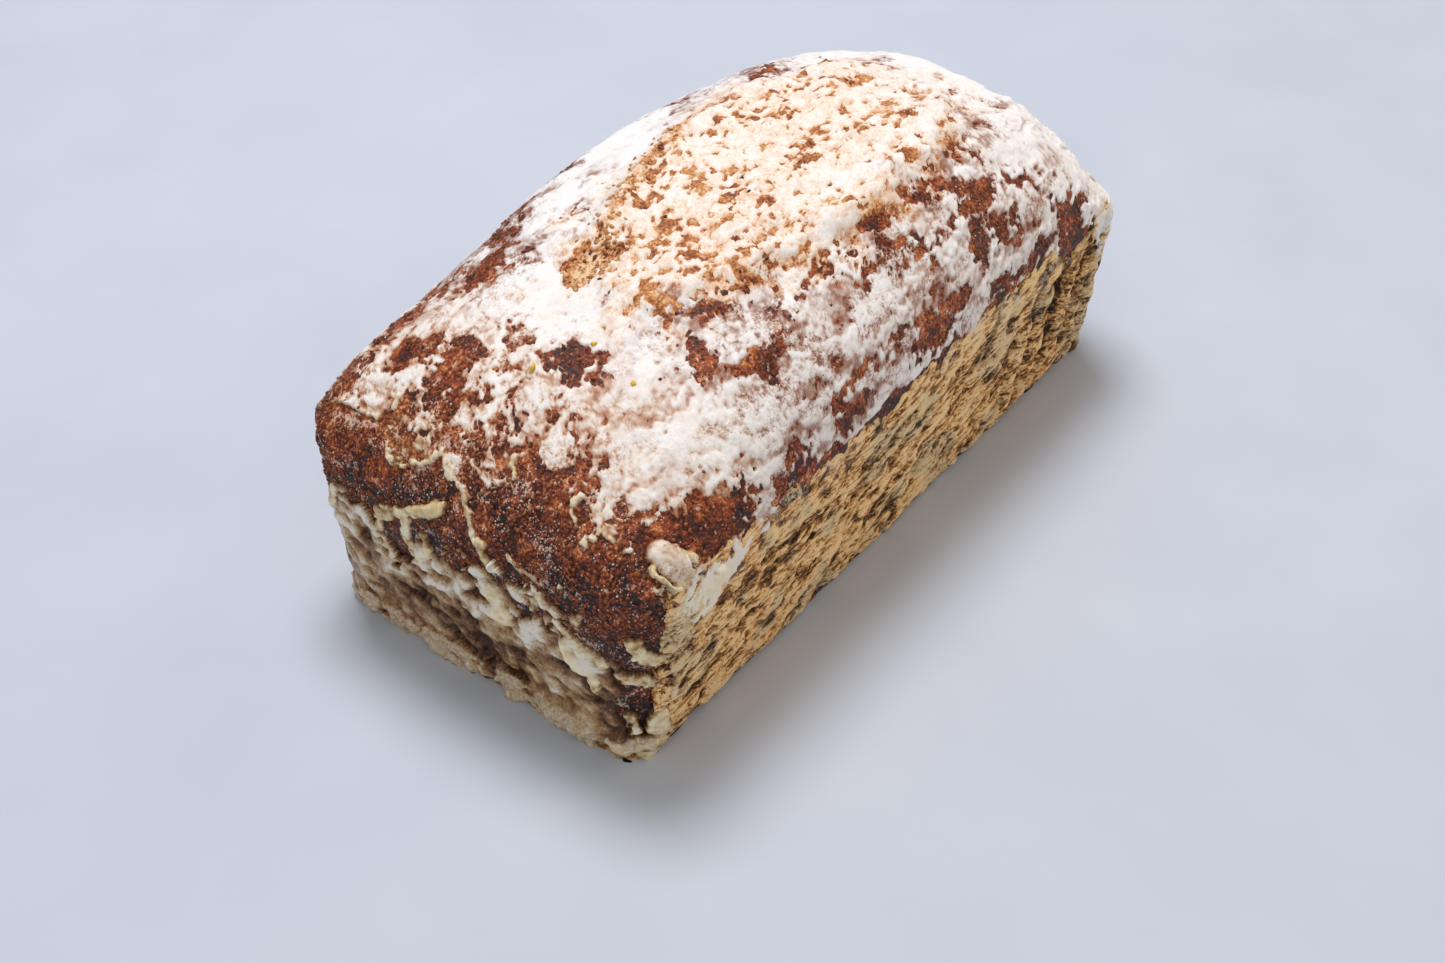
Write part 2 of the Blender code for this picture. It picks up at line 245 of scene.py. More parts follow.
@dataclass(frozen=True)
class LoafForm:
    """The loaf as the tin and the oven left it, without glaze.

    A place on it is (u, v, level): (u, v) on the edge of a square, level 0 on the base, 1 on the
    tin's rim and 2 in the middle of the crown.
    """

    base_length: float = 209.0
    base_width: float = 98.0
    base_corner: float = 8.0
    rim_length: float = 222.0
    rim_width: float = 115.0
    rim_corner_near: float = 18.0
    rim_corner_far: float = 22.0
    rim_height: float = 52.0
    crown_rise: float = 47.0
    flare_power: float = 0.75
    power_near: float = 3.5
    power_far: float = 2.0
    power_across: float = 2.6
    end_rounding: float = 2.0
    side_rounding: float = 2.4
    clear_of_rim: float = 14.0
    arc_power: float = 2.7
    arc_root: float = 0.46
    burst_x: float = 12.0
    burst_y: float = -4.0
    burst_half_length: float = 74.0
    burst_half_width: float = 29.0
    burst_step: float = 2.6
    burst_lip: float = 1.2
    tear: Swell = Swell(-50.0, 8.0, 1.0, 9.0, 6.0)
    tear_depth: float = 3.2
    seam_rise: float = 2.0
    seam_reach: float = 4.5
    seam_bend: float = 3.0
    seam_from: tuple[float, float] = (-42.0, 11.0)
    seam_to: tuple[float, float] = (34.0, 28.0)
    fold_spacing: float = 10.7
    groove_depth: float = 2.2
    grain: Grain = field(default_factory=lambda: Grain(5))

    @cached_property
    def reach_table(self) -> tuple[Array, Array]:
        """Arc length from the crown's middle outwards, and the reach that it belongs to.

        Returns:
            The arc lengths, 0 to 1, and the reaches, 0 to 1.
        """
        reach = np.sin(np.linspace(0, math.pi / 2, 400))
        out = reach * (self.rim_length + self.rim_width) / 4
        rise = self.crown_rise * (1 - reach**self.arc_power) ** self.arc_root
        steps = np.hypot(np.diff(out), np.diff(rise))
        arc = np.concatenate(((0.0,), np.cumsum(steps)))
        return arc / arc[-1], reach

    def outline(self, u: Array, v: Array, share: Array) -> tuple[Array, Array]:
        """The tin's rounded outline, share of the way up from base to rim.

        Args:
            u: along the loaf on the square's edge.
            v: across it.
            share: how far up from base to rim, 0 to 1.

        Returns:
            The outline's x and y.
        """
        flare = share**self.flare_power
        half_x = (self.base_length + (self.rim_length - self.base_length) * flare) / 2
        half_y = (self.base_width + (self.rim_width - self.base_width) * flare) / 2
        rim_corner = np.where(u < 0, self.rim_corner_near, self.rim_corner_far)
        corner = self.base_corner + (rim_corner - self.base_corner) * flare
        x, y = u * half_x, v * half_y
        inner_x = np.clip(x, corner - half_x, half_x - corner)
        inner_y = np.clip(y, corner - half_y, half_y - corner)
        away = np.maximum(np.hypot(x - inner_x, y - inner_y), 1e-9)
        return inner_x + (x - inner_x) / away * corner, inner_y + (y - inner_y) / away * corner

    def plain_rise(self, x: Array, y: Array) -> Array:
        """Height of the plain crown above the rim.

        Args:
            x: places along the loaf.
            y: places across it.

        Returns:
            One height for each place.
        """
        across = np.clip(np.abs(y) / (self.rim_width / 2), 0, 1)
        along = np.clip(np.abs(x) / (self.rim_length / 2), 0, 1)
        far = np.clip((y / (self.rim_width / 2) + 1) / 2, 0, 1)
        power = self.power_near + (self.power_far - self.power_near) * far
        end = (1 - along**power) ** (1 / self.end_rounding)
        return self.crown_rise * end * (1 - across**self.power_across) ** (1 / self.side_rounding)

    def burst_share(self, x: Array, y: Array) -> Array:
        """Above 1 inside the oval where the crust burst, 1 on its torn edge, below 1 outside.

        Args:
            x: places along the loaf.
            y: places across it.

        Returns:
            One share for each place.
        """
        ragged = self.grain.layers(flat(x, y), (16, 0.10), (6, 0.05))
        along = (x - self.burst_x) / self.burst_half_length
        across = (y - self.burst_y) / self.burst_half_width
        return 2 - np.hypot(along, across) + ragged

    def seam_share(self, x: Array, y: Array) -> Array:
        """1 on the seam of crumb along the burst's far edge, falling to 0 beside it.

        Args:
            x: places along the loaf.
            y: places across it.

        Returns:
            One share for each place.
        """
        x, y = x - self.seam_from[0], y - self.seam_from[1]
        run_x, run_y = np.subtract(self.seam_to, self.seam_from)
        share = np.clip((x * run_x + y * run_y) / (run_x**2 + run_y**2), 0, 1)
        bend = self.seam_bend * np.sin(math.pi * share)
        return bell(np.hypot(x - run_x * share, y - run_y * share - bend), 0, self.seam_reach)

    def crown_relief(self, x: Array, y: Array) -> Array:
        """What the burst, its crags and the folds beside it add to the crown.

        Args:
            x: places along the loaf.
            y: places across it.

        Returns:
            One height for each place.
        """
        plan = flat(x, y)
        inside = self.burst_share(x, y)
        rough = self.grain.layers(plan + 9, (12, 1.4), (6, 0.75), (3.2, 0.35))
        rough *= 0.35 + 0.65 * smooth(inside, 0.95, 1.1)
        outer = 1 - smooth(inside, 0.8, 1.0)
        wrinkle = 0.9 * outer * self.grain.at(plan * (1 / 3, 1, 1) + 11, 8)
        lift = self.burst_step * smooth(inside, 0.84, 1.14)
        lift += 0.5 * self.burst_lip * bell(inside, 1.1, 0.1)
        lift *= 1 - 0.65 * smooth(x, 48, 80)
        torn = self.tear_depth * self.tear.at(x, y)
        seam = self.seam_rise * self.seam_share(x, y)
        return lift + rough + wrinkle + seam - torn - self.burst_step / 2

    def place(self, u: Array, v: Array, level: Array) -> Array:
        """Points of the crown and the plain walls.

        Args:
            u: along the loaf on the square's edge.
            v: across it.
            level: from base to crown.

        Returns:
            Rows of x, y, z.
        """
        rim_x, rim_y = self.outline(u, v, np.ones_like(u))
        top = self.rim_height + self.plain_rise(rim_x, rim_y)
        height = np.clip(level, 0, 1) * top
        x, y = self.outline(u, v, np.clip(height / self.rim_height, 0, 1))
        arc, reach = self.reach_table
        inward = np.interp(np.clip(2 - level, 0, 1), arc, reach)
        x, y = x * inward, y * inward
        rise = self.plain_rise(x, y)
        clear = smooth(rise, 0, self.clear_of_rim)
        swells = sum(swell.at(x, y) for swell in SWELLS)
        extra = clear * (swells + self.crown_relief(x, y))
        crown = self.rim_height + rise + extra
        wall = height * (1 + extra / top)
        return np.stack((x, y, np.where(level > 1, crown, wall)), axis=1)

    def dents(self, points: Array) -> Array:
        """How deep the slanting dents of a long wall are at a point, 0 to about 1."""
        streaked = slanted(points, 2.0, 20)
        return smooth(self.grain.layers(streaked + 3, (4.0, 1.0), (2.0, 0.5)), 0.0, 0.42)

    def folds(self, points: Array) -> Array:
        """The upright folds and the groove near the far end of the long walls.

        Args:
            points: rows of x, y, z.

        Returns:
            One height for each point, below 0 in the grooves.
        """
        x, y, z = points.T
        folded = smooth(x, 45, 60) * smooth(z, 2, 15)
        bent = 3 * self.grain.at(points, 21)
        wave = np.sin(2 * math.pi * x / self.fold_spacing + bent)
        sharp = np.sign(wave) * np.abs(wave) ** 0.7
        groove = np.where(y < 0, bell(x, 71, 3) * smooth(z, 20, 42), 0)
        return 1.2 * folded * sharp - self.groove_depth * groove

    def wall_relief(self, points: Array) -> Array:
        """How far a wall stands proud of its plain form.

        Args:
            points: rows of x, y, z.

        Returns:
            One height for each point.
        """
        x, _, z = points.T
        end = smooth(np.abs(x), 101, 106)
        side = self.folds(points) - 1.0 * self.dents(points)
        return self.grain.layers(points + 17, (9, 0.5), (4.5, 0.25)) + (1 - end) * side


# ---- Nets over the form ----


@dataclass
class Net:
    """A net of faces over part of the loaf."""

    u: Array
    v: Array
    level: Array
    faces: Array

    def laid_on(self, form: LoafForm) -> tuple[Array, Array]:
        """Lays the net on the loaf.

        Args:
            form: the loaf's form.

        Returns:
            The points and the directions in which the surface faces there.
        """
        points = form.place(self.u, self.v, self.level)
        facing = facing_of(points, self.faces)
        fade = 1 - smooth(self.level, 0.94, 1.0)
        points += facing * (form.wall_relief(points) * fade)[:, None]
        points[:, 2] = np.where(self.level <= 0, 0.0, np.maximum(points[:, 2], 0.0))
        return points, facing_of(points, self.faces)


def facing_of(points: Array, faces: Array) -> Array:
    """The unit normals at the points of a net of four-sided faces.

    Args:
        points: rows of x, y, z.
        faces: the net's four-sided faces.

    Returns:
        One direction for each point.
    """
    first = points[faces[:, 2]] - points[faces[:, 0]]
    second = points[faces[:, 3]] - points[faces[:, 1]]
    across = np.cross(first, second)
    total = np.zeros_like(points)
    for axis in range(3):
        for corner in range(4):
            total[:, axis] += np.bincount(faces[:, corner], across[:, axis], len(points))
    return total / np.maximum(np.linalg.norm(total, axis=1, keepdims=True), 1e-12)


def cells_of(number: Array) -> Array:
    """The four-sided faces of a grid of numbered points."""
    corners = number[:-1, :-1], number[1:, :-1], number[1:, 1:], number[:-1, 1:]
    return np.stack(corners, -1).reshape(-1, 4)


def full_net(along: int, across: int, up: int, low: float) -> Net:
    """A net over the whole crown and down the walls.

    Args:
        along: cells along the loaf.
        across: cells across it.
        up: cells on the walls.
        low: the level at which the walls stop.

    Returns:
        The net, whose only border is the loop at the low level.
    """
    steps = np.linspace(-1, 1, along + 1), np.linspace(-1, 1, across + 1)
    u, v = np.meshgrid(*steps, indexing="ij")
    number = np.arange(u.size).reshape(u.shape)
    ring = np.maximum(np.maximum(np.abs(u), np.abs(v)), 1e-9)
    loop = (number[:-1, 0], number[-1, :-1], number[:0:-1, -1], number[0, :0:-1])
    loop = np.concatenate(loop)
    levels = np.linspace(1, low, up + 1)[1:]
    rows = u.size + np.arange(up * len(loop)).reshape(up, -1)
    rows = np.concatenate((loop[None], rows))
    ahead = np.roll(rows, -1, axis=1)
    walls = np.stack((rows[1:], ahead[1:], ahead[:-1], rows[:-1]), -1).reshape(-1, 4)
    return Net(
        np.concatenate(((u / ring).ravel(), np.tile(u.ravel()[loop], up))),
        np.concatenate(((v / ring).ravel(), np.tile(v.ravel()[loop], up))),
        np.concatenate(((2 - ring).ravel(), np.repeat(levels, len(loop)))),
        np.concatenate((cells_of(number), walls)),
    )


def round_net(start: float, stop: float, cells: int, up: int, high: float) -> Net:
    """A net round part of the walls, from the base to a level on the crown.

    Args:
        start: where it starts round the loaf: 0 to 1 is the near wall, 1 to 2 the far end,
            2 to 3 the back wall and 3 to 4 the near end.
        stop: where it stops.
        cells: cells round the loaf.
        up: cells up the walls.
        high: the level where it stops.

    Returns:
        The net.
    """
    steps = np.linspace(start, stop, cells + 1), np.linspace(0, high, up + 1)
    around, level = np.meshgrid(*steps, indexing="ij")
    side, share = np.floor(around).astype(int) % 4, around % 1 * 2 - 1
    one = np.ones_like(share)
    u = np.choose(side, (share, one, -share, -one))
    v = np.choose(side, (-one, share, one, -share))
    faces = cells_of(np.arange(u.size).reshape(u.shape))
    return Net(u.ravel(), v.ravel(), level.ravel(), faces)


def closing_faces(faces: Array, apex: int, count: int) -> Array:
    """Triangles from the open border of a net to one point inside the loaf.

    Args:
        faces: the net's four-sided faces.
        apex: the number of the inner point.
        count: how many points the net has.

    Returns:
        Rows of three point numbers.
    """
    starts, ends = faces.ravel(), np.roll(faces, -1, axis=1).ravel()
    open_edge = ~np.isin(starts * count + ends, ends * count + starts)
    return np.stack((ends[open_edge], starts[open_edge], np.full(open_edge.sum(), apex)), axis=1)


def make_piece(
    name: str,
    points: Array,
    facing: Array,
    faces: Array,
    apex: Point,
    attributes: dict[str, Array],
    material: Material,
) -> Object:
    """Makes a closed, smooth piece from a net.

    Args:
        name: the piece's name.
        points: the net's points.
        facing: the normals there.
        faces: the net's faces.
        apex: the point inside the loaf that closes the piece.
        attributes: values at the points that the material reads.
        material: the finish.

    Returns:
        The piece, linked to the scene.
    """
    used, faces = np.unique(faces, return_inverse=True)
    faces = faces.reshape(-1, 4)
    fan = closing_faces(faces, len(used), len(used))
    solid = (np.vstack((points[used], apex)) + SHIFT) * MM
    mesh = bpy.data.meshes.new(name)
    mesh.from_pydata(solid.tolist(), [], faces.tolist() + fan.tolist())
    for key, values in attributes.items():
        layer = mesh.attributes.new(key, "FLOAT", "POINT")
        layer.data.foreach_set("value", np.append(values[used], 0.0).astype(np.float32))
    mesh.shade_smooth()
    turned = np.vstack((facing[used], (0, 0, -1)))
    mesh.normals_split_custom_set_from_vertices(turned.tolist())
    mesh.materials.append(material)
    log.info("%s: %d triangles", name, 2 * len(faces) + len(fan))
    return link(name, mesh)


def settle(piece: Object, replaces: bool = False) -> None:
    """Ties a finished piece to the loaf.

    Args:
        piece: the piece.
        replaces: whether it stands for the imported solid.
    """
    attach(piece, BODY)
    if replaces:
        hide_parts(NODE)


# ---- Where the glaze lies ----


class Face(Enum):
    """The side of the loaf that a patch is read from, as the axes that it spans."""

    TOP = (0, 1)
    SIDE = (0, 2)


@dataclass(frozen=True)
class Patch:
    """A place where the glaze is thinner or thicker than around it."""

    face: Face
    first: float
    second: float
    reach_first: float
    reach_second: float
    change: float
    turn: float = 0.0
    soft: float = 0.3

    def share(self, points: Array, ragged: Array) -> Array:
        """How much of the patch is at each point, 0 to 1.

        Args:
            points: rows of x, y, z.
            ragged: noise that frays the patch's edge.

        Returns:
            One share for each point.
        """
        a, b = self.face.value
        turn = math.radians(self.turn)
        away_a, away_b = points[:, a] - self.first, points[:, b] - self.second
        along = away_a * math.cos(turn) + away_b * math.sin(turn)
        beside = away_b * math.cos(turn) - away_a * math.sin(turn)
        out = np.hypot(along / self.reach_first, beside / self.reach_second) + ragged
        return 1 - smooth(out, 1 - self.soft, 1 + self.soft)


# For each group: place, reach, change of the glaze's body, turn and softness of the edge
PATCH_ROWS = (
    # Bare spots with broken edges
    (Face.TOP, (
        (-57.5, -33, 4.2, 4.5, -1.1, 0, 0.12), (-77, -7, 3.6, 6.5, -0.8, 0, 0.25),
        (-74, 10, 5, 4, -0.6), (-73, -15.5, 2.6, 3, -0.7), (-86, 17, 4.5, 13, -0.4, 10),
        (-94, 8, 4.5, 15, -0.5, -8), (-86, 34, 5.5, 3.2, -0.4, -20), (-54, -14, 3.2, 5, -0.6),
        (-51, -23, 8, 2.4, -0.42, -24), (-31, -35.5, 4, 1.6, -0.42), (-18, -36, 6, 1.8, -0.5, 6),
        (-5, -35, 2.4, 1.8, -0.7), (8, -35, 7, 2.4, -0.35), (24, -36.5, 5, 1.8, -0.4, 8),
        (50, -32.5, 6, 1.8, -0.35), (54, -38, 3, 1.8, -0.45), (41, -42.5, 9, 2, -0.75, -12, 0.2),
        (60, -45, 4, 1.8, -0.7), (-47, -40.5, 7, 2.6, -0.42, -10), (5, -43.5, 18, 1.3, -0.5, -12),
        (35, -50, 3, 5, -0.45), (45, -49, 7, 1.6, -0.6, -30),
    )),
    (Face.SIDE, (
        (-85, 67, 18, 6, -1.0, -4, 0.25), (-52.5, 61, 7.5, 3.6, -1.1, -12, 0.12),
        (-52, 68.5, 4, 1.8, -0.8), (-27, 73, 8.5, 1.8, -0.55, 8, 0.25),
        (-31, 66, 3.8, 4.8, -1.1, -15, 0.12), (-8, 73, 5, 2, -0.5),
        (8.5, 68, 9, 5, -0.95, -10, 0.2), (20, 71, 5, 2.4, -0.7), (-7, 57.5, 6, 2, -0.7),
        (45, 64, 13, 1.4, -0.75, -6, 0.2), (58, 64, 3.5, 2.4, -0.8), (43, 77, 5.5, 2.6, -0.5, -35),
        (76, 60, 6.5, 12, -1.1, 12, 0.15),
    )),
    # Thin brown film
    (Face.TOP, (
        (-74, 48, 13, 6.5, -0.42, 0, 0.5), (-63, 36, 7, 6, -0.38, 30, 0.5),
        (-40, 44, 12, 4, -0.36, 25, 0.4), (-52, 30, 5, 6, -0.35, 30, 0.4),
        (-95, 44, 8, 5, -0.3, 20, 0.5), (-10, 48, 13, 3, -0.4, 20, 0.4),
        (4, 51, 8, 2.5, -0.35, 20, 0.4), (28, 43, 10, 2.6, -0.35, 35, 0.4),
        (68, 17, 10, 4.5, -0.5, -10, 0.4), (72, 6, 7, 3.6, -0.5, -30, 0.4),
        (82, 12, 5, 2.6, -0.46, 20, 0.4), (90, 22, 4, 7, -0.46, 30, 0.4),
        (52, 6, 5, 2.4, -0.7, -20, 0.3), (60, -13, 3, 4, -0.45), (82, -24, 7, 3.4, -0.5, -12, 0.4),
        (74, -15, 6, 2, -0.42, 20), (50, 30, 10, 2.6, -0.6, 25, 0.4),
        (104, 22, 2.4, 18, -0.7, 3, 0.4), (106, -10, 2, 8, -0.45), (-35, 25, 4, 4, -0.35, 45, 0.5),
        (-24, 32, 5, 2, -0.35, 10, 0.5),
    )),
    (Face.SIDE, (
        (35, 76, 3, 5, -0.42, 0, 0.4), (66, 75, 5, 3.5, -0.38, -10, 0.4),
    )),
    # Thick pools
    (Face.TOP, (
        (-63, 8, 7, 12, 0.45, -10, 0.6), (-8, 36, 30, 9, 0.4, 8, 0.5),
        (-100, 38, 6, 9, 0.55, 20, 0.5), (-68, -28, 14, 6, 0.3, -25, 0.6),
        (-75, -42, 12, 5, 0.3, -12, 0.6), (94, 0, 12, 30, 0.35, 0, 0.6),
    )),
    (Face.SIDE, (
        (-84, 54, 16, 5, 0.8, 8, 0.4),
    )),
    (Face.TOP, (
        (-62, 54.5, 34, 3.5, 0.45, 0, 0.5), (12, 55, 36, 3, 0.3, 0, 0.5),
    )),
)
CROWN_PATCHES = tuple(Patch(face, *row) for face, rows in PATCH_ROWS for row in rows)


class Wall(Enum):
    """The wall that a drip runs down, as the axis that lies along it."""

    NEAR = 0
    END = 1


@dataclass(frozen=True)
class Drip:
    """A run of set glaze down a wall: its path, its width, how proud and how cream it is.

    The path's points are (y, z) on the near end and (x, z) on the near wall.
    """

    wall: Wall
    path: tuple[tuple[float, float], ...]
    width: float
    proud: float
    cream: float = 1.0

    def away(self, place: Array) -> Array:
        """How far each place on the wall is from the drip's path.

        Args:
            place: rows of the two coordinates on the wall.

        Returns:
            One distance for each place.
        """
        away = np.full(len(place), np.inf)
        for first, second in itertools.pairwise(self.path):
            run = np.subtract(second, first)
            share = np.clip((place - first) @ run / (run @ run), 0, 1)
            away = np.minimum(away, np.linalg.norm(place - first - share[:, None] * run, axis=1))
        return away


# For each drip: path, width, how proud it stands and how cream it is
DRIP_ROWS = (
    # Thin cream lips under the lobes of the crown's glaze
    (Wall.END, (
        (((29, 75), (28, 68), (25, 63.5), (20, 62), (15, 64.5), (12, 70)), 2.1, 0.5, 0.7),
        (((11, 71), (7, 67), (1, 64), (-3, 59), (-6, 54)), 2.0, 0.45, 0.6),
        (((-8, 75), (-12, 70.5), (-18, 69), (-23, 71), (-26, 75)), 2.1, 0.5, 0.6),
        (((-28, 74), (-31, 69), (-36, 67.5), (-40, 70), (-42, 75)), 2.1, 0.5, 0.6),
        (((-14, 57), (-20, 54.5), (-26, 54), (-31, 56)), 1.8, 0.4, 0.35),
        (((-23, 51), (-29, 47), (-35, 46.5), (-38, 50)), 2.6, 0.7, 0.5),
    )),
    # Yellow drips
    (Wall.END, (
        (((7, 58), (13, 54.5), (19, 51), (27, 46.5)), 5.2, 1.3),
        (((17, 51), (18.5, 45), (16, 38)), 3.6, 1.2),
        (((12, 46), (11.5, 41), (15, 36.5)), 3.0, 1.2),
        (((28, 43), (29, 37), (26, 31)), 3.4, 0.9, 0.5), (((-7, 55), (-9, 49.5)), 4.2, 1.1, 0.9),
        (((-9, 41), (-11, 36), (-11.5, 32.5)), 4.6, 1.5),
        (((-32, 36), (-37, 31), (-40, 26)), 5.0, 1.5),
        (((-29, 42), (-36, 38.5), (-43, 36)), 3.4, 1.1, 0.6), (((-50, 45), (-52, 39)), 4.6, 1.5),
        (((-47, 33), (-51, 29)), 3.6, 1.1, 0.8), (((-46, 17), (-47, 11)), 3.0, 0.8, 0.6),
        (((-42, 5), (-51, 4)), 6.0, 1.2, 0.75), (((44, 44), (46, 38)), 3.6, 1.0, 0.7),
    )),
    # The corner between the near end and the near wall
    (Wall.NEAR, (
        (((-96.5, 65.5), (-96, 65)), 8.0, 2.5, 0.1),
        (((-101, 65), (-99.5, 61.6), (-96, 60.6), (-92.8, 62), (-91.8, 65)), 2.2, 1.6, 0.95),
        (((-84, 56), (-90, 50), (-95, 43)), 4.0, 0.8, 0.85),
        (((-98, 47), (-97, 41)), 3.6, 1.0, 0.9), (((-97, 31), (-98, 25)), 4.5, 1.3),
        (((-100, 16), (-98, 8), (-101, 2)), 6.5, 1.6),
    )),
)
DRIPS = tuple(Drip(wall, *row) for wall, rows in DRIP_ROWS for row in rows)

# Patches that take away more body than this are bare spots, eased where the glaze is broken
BARE_CHANGE = -0.45
# Lower edge of the crown's glaze on the near end, as (y, height)
NEAR_LOBES = (
    (-58, 60), (-46, 76), (-40, 69.5), (-35, 67.5), (-27, 75), (-23, 71), (-17, 69), (-9, 75),
    (-5, 55), (0, 62), (7, 67), (11.5, 71), (15, 64.5), (20, 62), (26, 64), (31, 76), (45, 73),
    (58, 60),
)
# Drips on the end narrower than the first are thin, broken lips; wider than the second, drops
LIP_WIDTH = 2.15
DROP_WIDTH = 7.0


@dataclass(frozen=True)
class GlazeMap:
    """Where the glaze lies, how thick it is and what colour it set to."""

    form: LoafForm
    grain: Grain = field(default_factory=lambda: Grain(23))
    film_height: float = 0.75
    white_height: float = 0.3
    sunk: float = 0.6
    buried: float = 1.5

    def pushed(self, points: Array, share: float = 1.0) -> Array:
        """Points pushed about by noise, so that outlines drawn over them come out ragged.

        Args:
            points: rows of x, y, z.
            share: how much of the push is used.

        Returns:
            The pushed points.
        """
        moved = points.copy()
        for axis in range(3):
            push = self.grain.layers(points + 90 * axis, (9, 3.2), (4, 2.2), (1.9, 1.4))
            moved[:, axis] += share * push
        return moved

    def drips(self, points: Array, facing: Array) -> tuple[Array, Array, Array]:
        """The drips on the walls.

        Args:
            points: rows of x, y, z.
            facing: the normals there.

        Returns:
            How proud they stand, how much of a drip is at each point and how cream it is.
        """
        proud, inside, cream = (np.zeros(len(points)) for _ in range(3))
        ragged = self.grain.layers(points + 5, (4, 0.22), (1.8, 0.2))
        moved = self.pushed(points, 0.4)
        gaps = 0.9 * smooth(self.grain.layers(points + 7, (7, 0.9), (3, 0.5)), 0.0, 0.45)
        for drip in DRIPS:
            a = drip.wall.value
            on_wall = smooth(-facing[:, 1 - a], 0.05, 0.35)
            wild = 1.0 if drip.width < DROP_WIDTH else 0.2
            away = drip.away((wild * moved + (1 - wild) * points)[:, (a, 2)])
            thin = 1.5 if drip.width < LIP_WIDTH and drip.wall is Wall.END else 0.0
            out = 2 * away / drip.width + wild * ragged + thin * gaps
            crest = np.sqrt(np.clip(1 - out**2, 0, 1)) * on_wall
            proud = np.maximum(proud, drip.proud * crest)
            here = (1 - smooth(out, 0.7, 1.05)) * on_wall
            inside = np.maximum(inside, here)
            cream = np.maximum(cream, drip.cream * here)
        return proud, inside, cream

    def crown_body(self, points: Array) -> Array:
        """How much glaze lies on the crown: 0 bare, 0.35 its edge, 0.6 a film, 1 white.

        Args:
            points: rows of x, y, z.

        Returns:
            One body for each point.
        """
        moved = self.pushed(points)
        x, y, z = moved.T
        broken = smooth(-x, 74, 100)
        inside = smooth(self.form.burst_share(points[:, 0], points[:, 1]), 0.90, 1.12)
        calm = smooth(x, 58, 86)
        steep = np.maximum(smooth(-y, 8, 28), 0.5 * smooth(y, 26, 38))
        steep *= (1 - broken) * (1 - inside)
        drawn = np.stack((x / 2.8, y + 0.12 * x, z), axis=1)
        layers = self.grain.layers
        lumpy = layers(moved, (20, 0.16), (9, 0.20), (4.4, 0.34), (2.2, 0.34), (1.2, 0.24))
        streaky = layers(drawn + 7, (9, 0.30), (4.6, 0.42), (2.4, 0.34), (1.3, 0.26))
        body = 0.94 + 0.12 * np.maximum(inside, calm) - 0.20 * broken
        body -= 0.42 * smooth(-x, 94, 101)
        body -= 0.20 * steep * (1 - 0.5 * calm)
        body += smooth(-x, 102, 106) * (0.06 + 0.12 * smooth(y, -6, 12) * smooth(z, 60, 66))
        strength = 1 - 0.4 * calm + 0.3 * broken - 0.5 * inside
        body += strength * (lumpy * (1 - steep) + streaky * steep)
        body -= 0.34 * self.smears(points) * (1 - inside)
        body -= 0.60 * inside * self.marks(points)
        thin = 0.62 - body
        body = np.where(thin > 0, 0.62 - thin * (0.55 + 0.45 * broken), body)
        craggy = smooth(layers(points + 307, (9, 0.8), (4, 0.4)), 0.05, 0.4)
        body = np.maximum(body, (0.42 - 0.3 * craggy) * inside)
        frayed = layers(points + 61, (3.4, 0.5), (1.6, 0.5))
        on_near_wall = smooth(-y, 38, 44)
        for patch in CROWN_PATCHES:
            share = patch.share(moved, frayed)
            if patch.face is Face.SIDE:
                share *= on_near_wall
            eased = 1 - 0.35 * broken if patch.change < BARE_CHANGE else 1.0
            body += patch.change * eased * share
        ragged = layers(points + 13, (4, 0.3), (1.8, 0.25))
        body -= 0.9 * smooth(self.form.tear.at(x, y) + ragged, 0.3, 0.6)
        return body - 0.45 * smooth(self.form.seam_share(x, y) + ragged, 0.5, 0.9) * inside

    def smears(self, points: Array) -> Array:
        """How much of a smooth, brown film is at each point outside the burst, 0 to 1.

        Args:
            points: rows of x, y, z.

        Returns:
            One share for each point.
        """
        x, y, z = points.T
        drawn = np.stack((x / 2.0, y + 0.1 * x, z), axis=1)
        share = self.grain.layers(drawn + 301, (11, 0.9), (5, 0.5), (2.2, 0.3))
        share += 0.18 * smooth(y, 18, 34) * smooth(-x, -20, 30) + 0.12 * smooth(-x, 66, 90)
        share -= 0.12 * smooth(x, 60, 90)
        return smooth(share, 0.22, 0.52)

    def marks(self, points: Array) -> Array:
        """How much of a golden crumb mark of the burst is at each point, 0 to 1.

        Args:
            points: rows of x, y, z.

        Returns:
            One share for each point.
        """
        x, y, _ = points.T
        drawn = points * (0.62, 1, 1)
        layers = self.grain.layers
        worn = 0.10 * self.grain.at(points + 171, 17) + 0.10 * smooth(-y, 2, 16)
        worn += 0.14 * smooth(-x, -6, 34) - 0.16 * smooth(x, 36, 62)
        crumbs = layers(drawn + 121, (7.5, 0.5), (3.6, 0.7), (1.9, 0.7), (1.0, 0.4)) + worn
        winding = np.abs(layers(drawn + 71, (8, 1.0), (4, 0.6), (1.8, 0.35)))
        held = smooth(self.grain.at(points + 37, 8) + 2 * worn, 0.0, 0.4)
        lines = (1 - smooth(winding, 0.02, 0.16)) * held
        return np.clip(smooth(crumbs, 0.10, 0.62) + 0.55 * lines, 0, 1)

    def creases(self, points: Array) -> Array:
        """How much of a thin raised fold is at each point of the far slope, 0 to 1.

        Args:
            points: rows of x, y, z.

        Returns:
            One share for each point.
        """
        x, y, z = points.T
        drawn = points * (0.7, 1, 1)
        winding = self.grain.layers(drawn + 411, (11, 1.0), (5, 0.5), (2.2, 0.25))
        fold = 1 - smooth(np.abs(winding), 0.0, 0.10)
        return fold * smooth(x, -10, 25) * smooth(-y, 6, 18) * smooth(z, 56, 62)

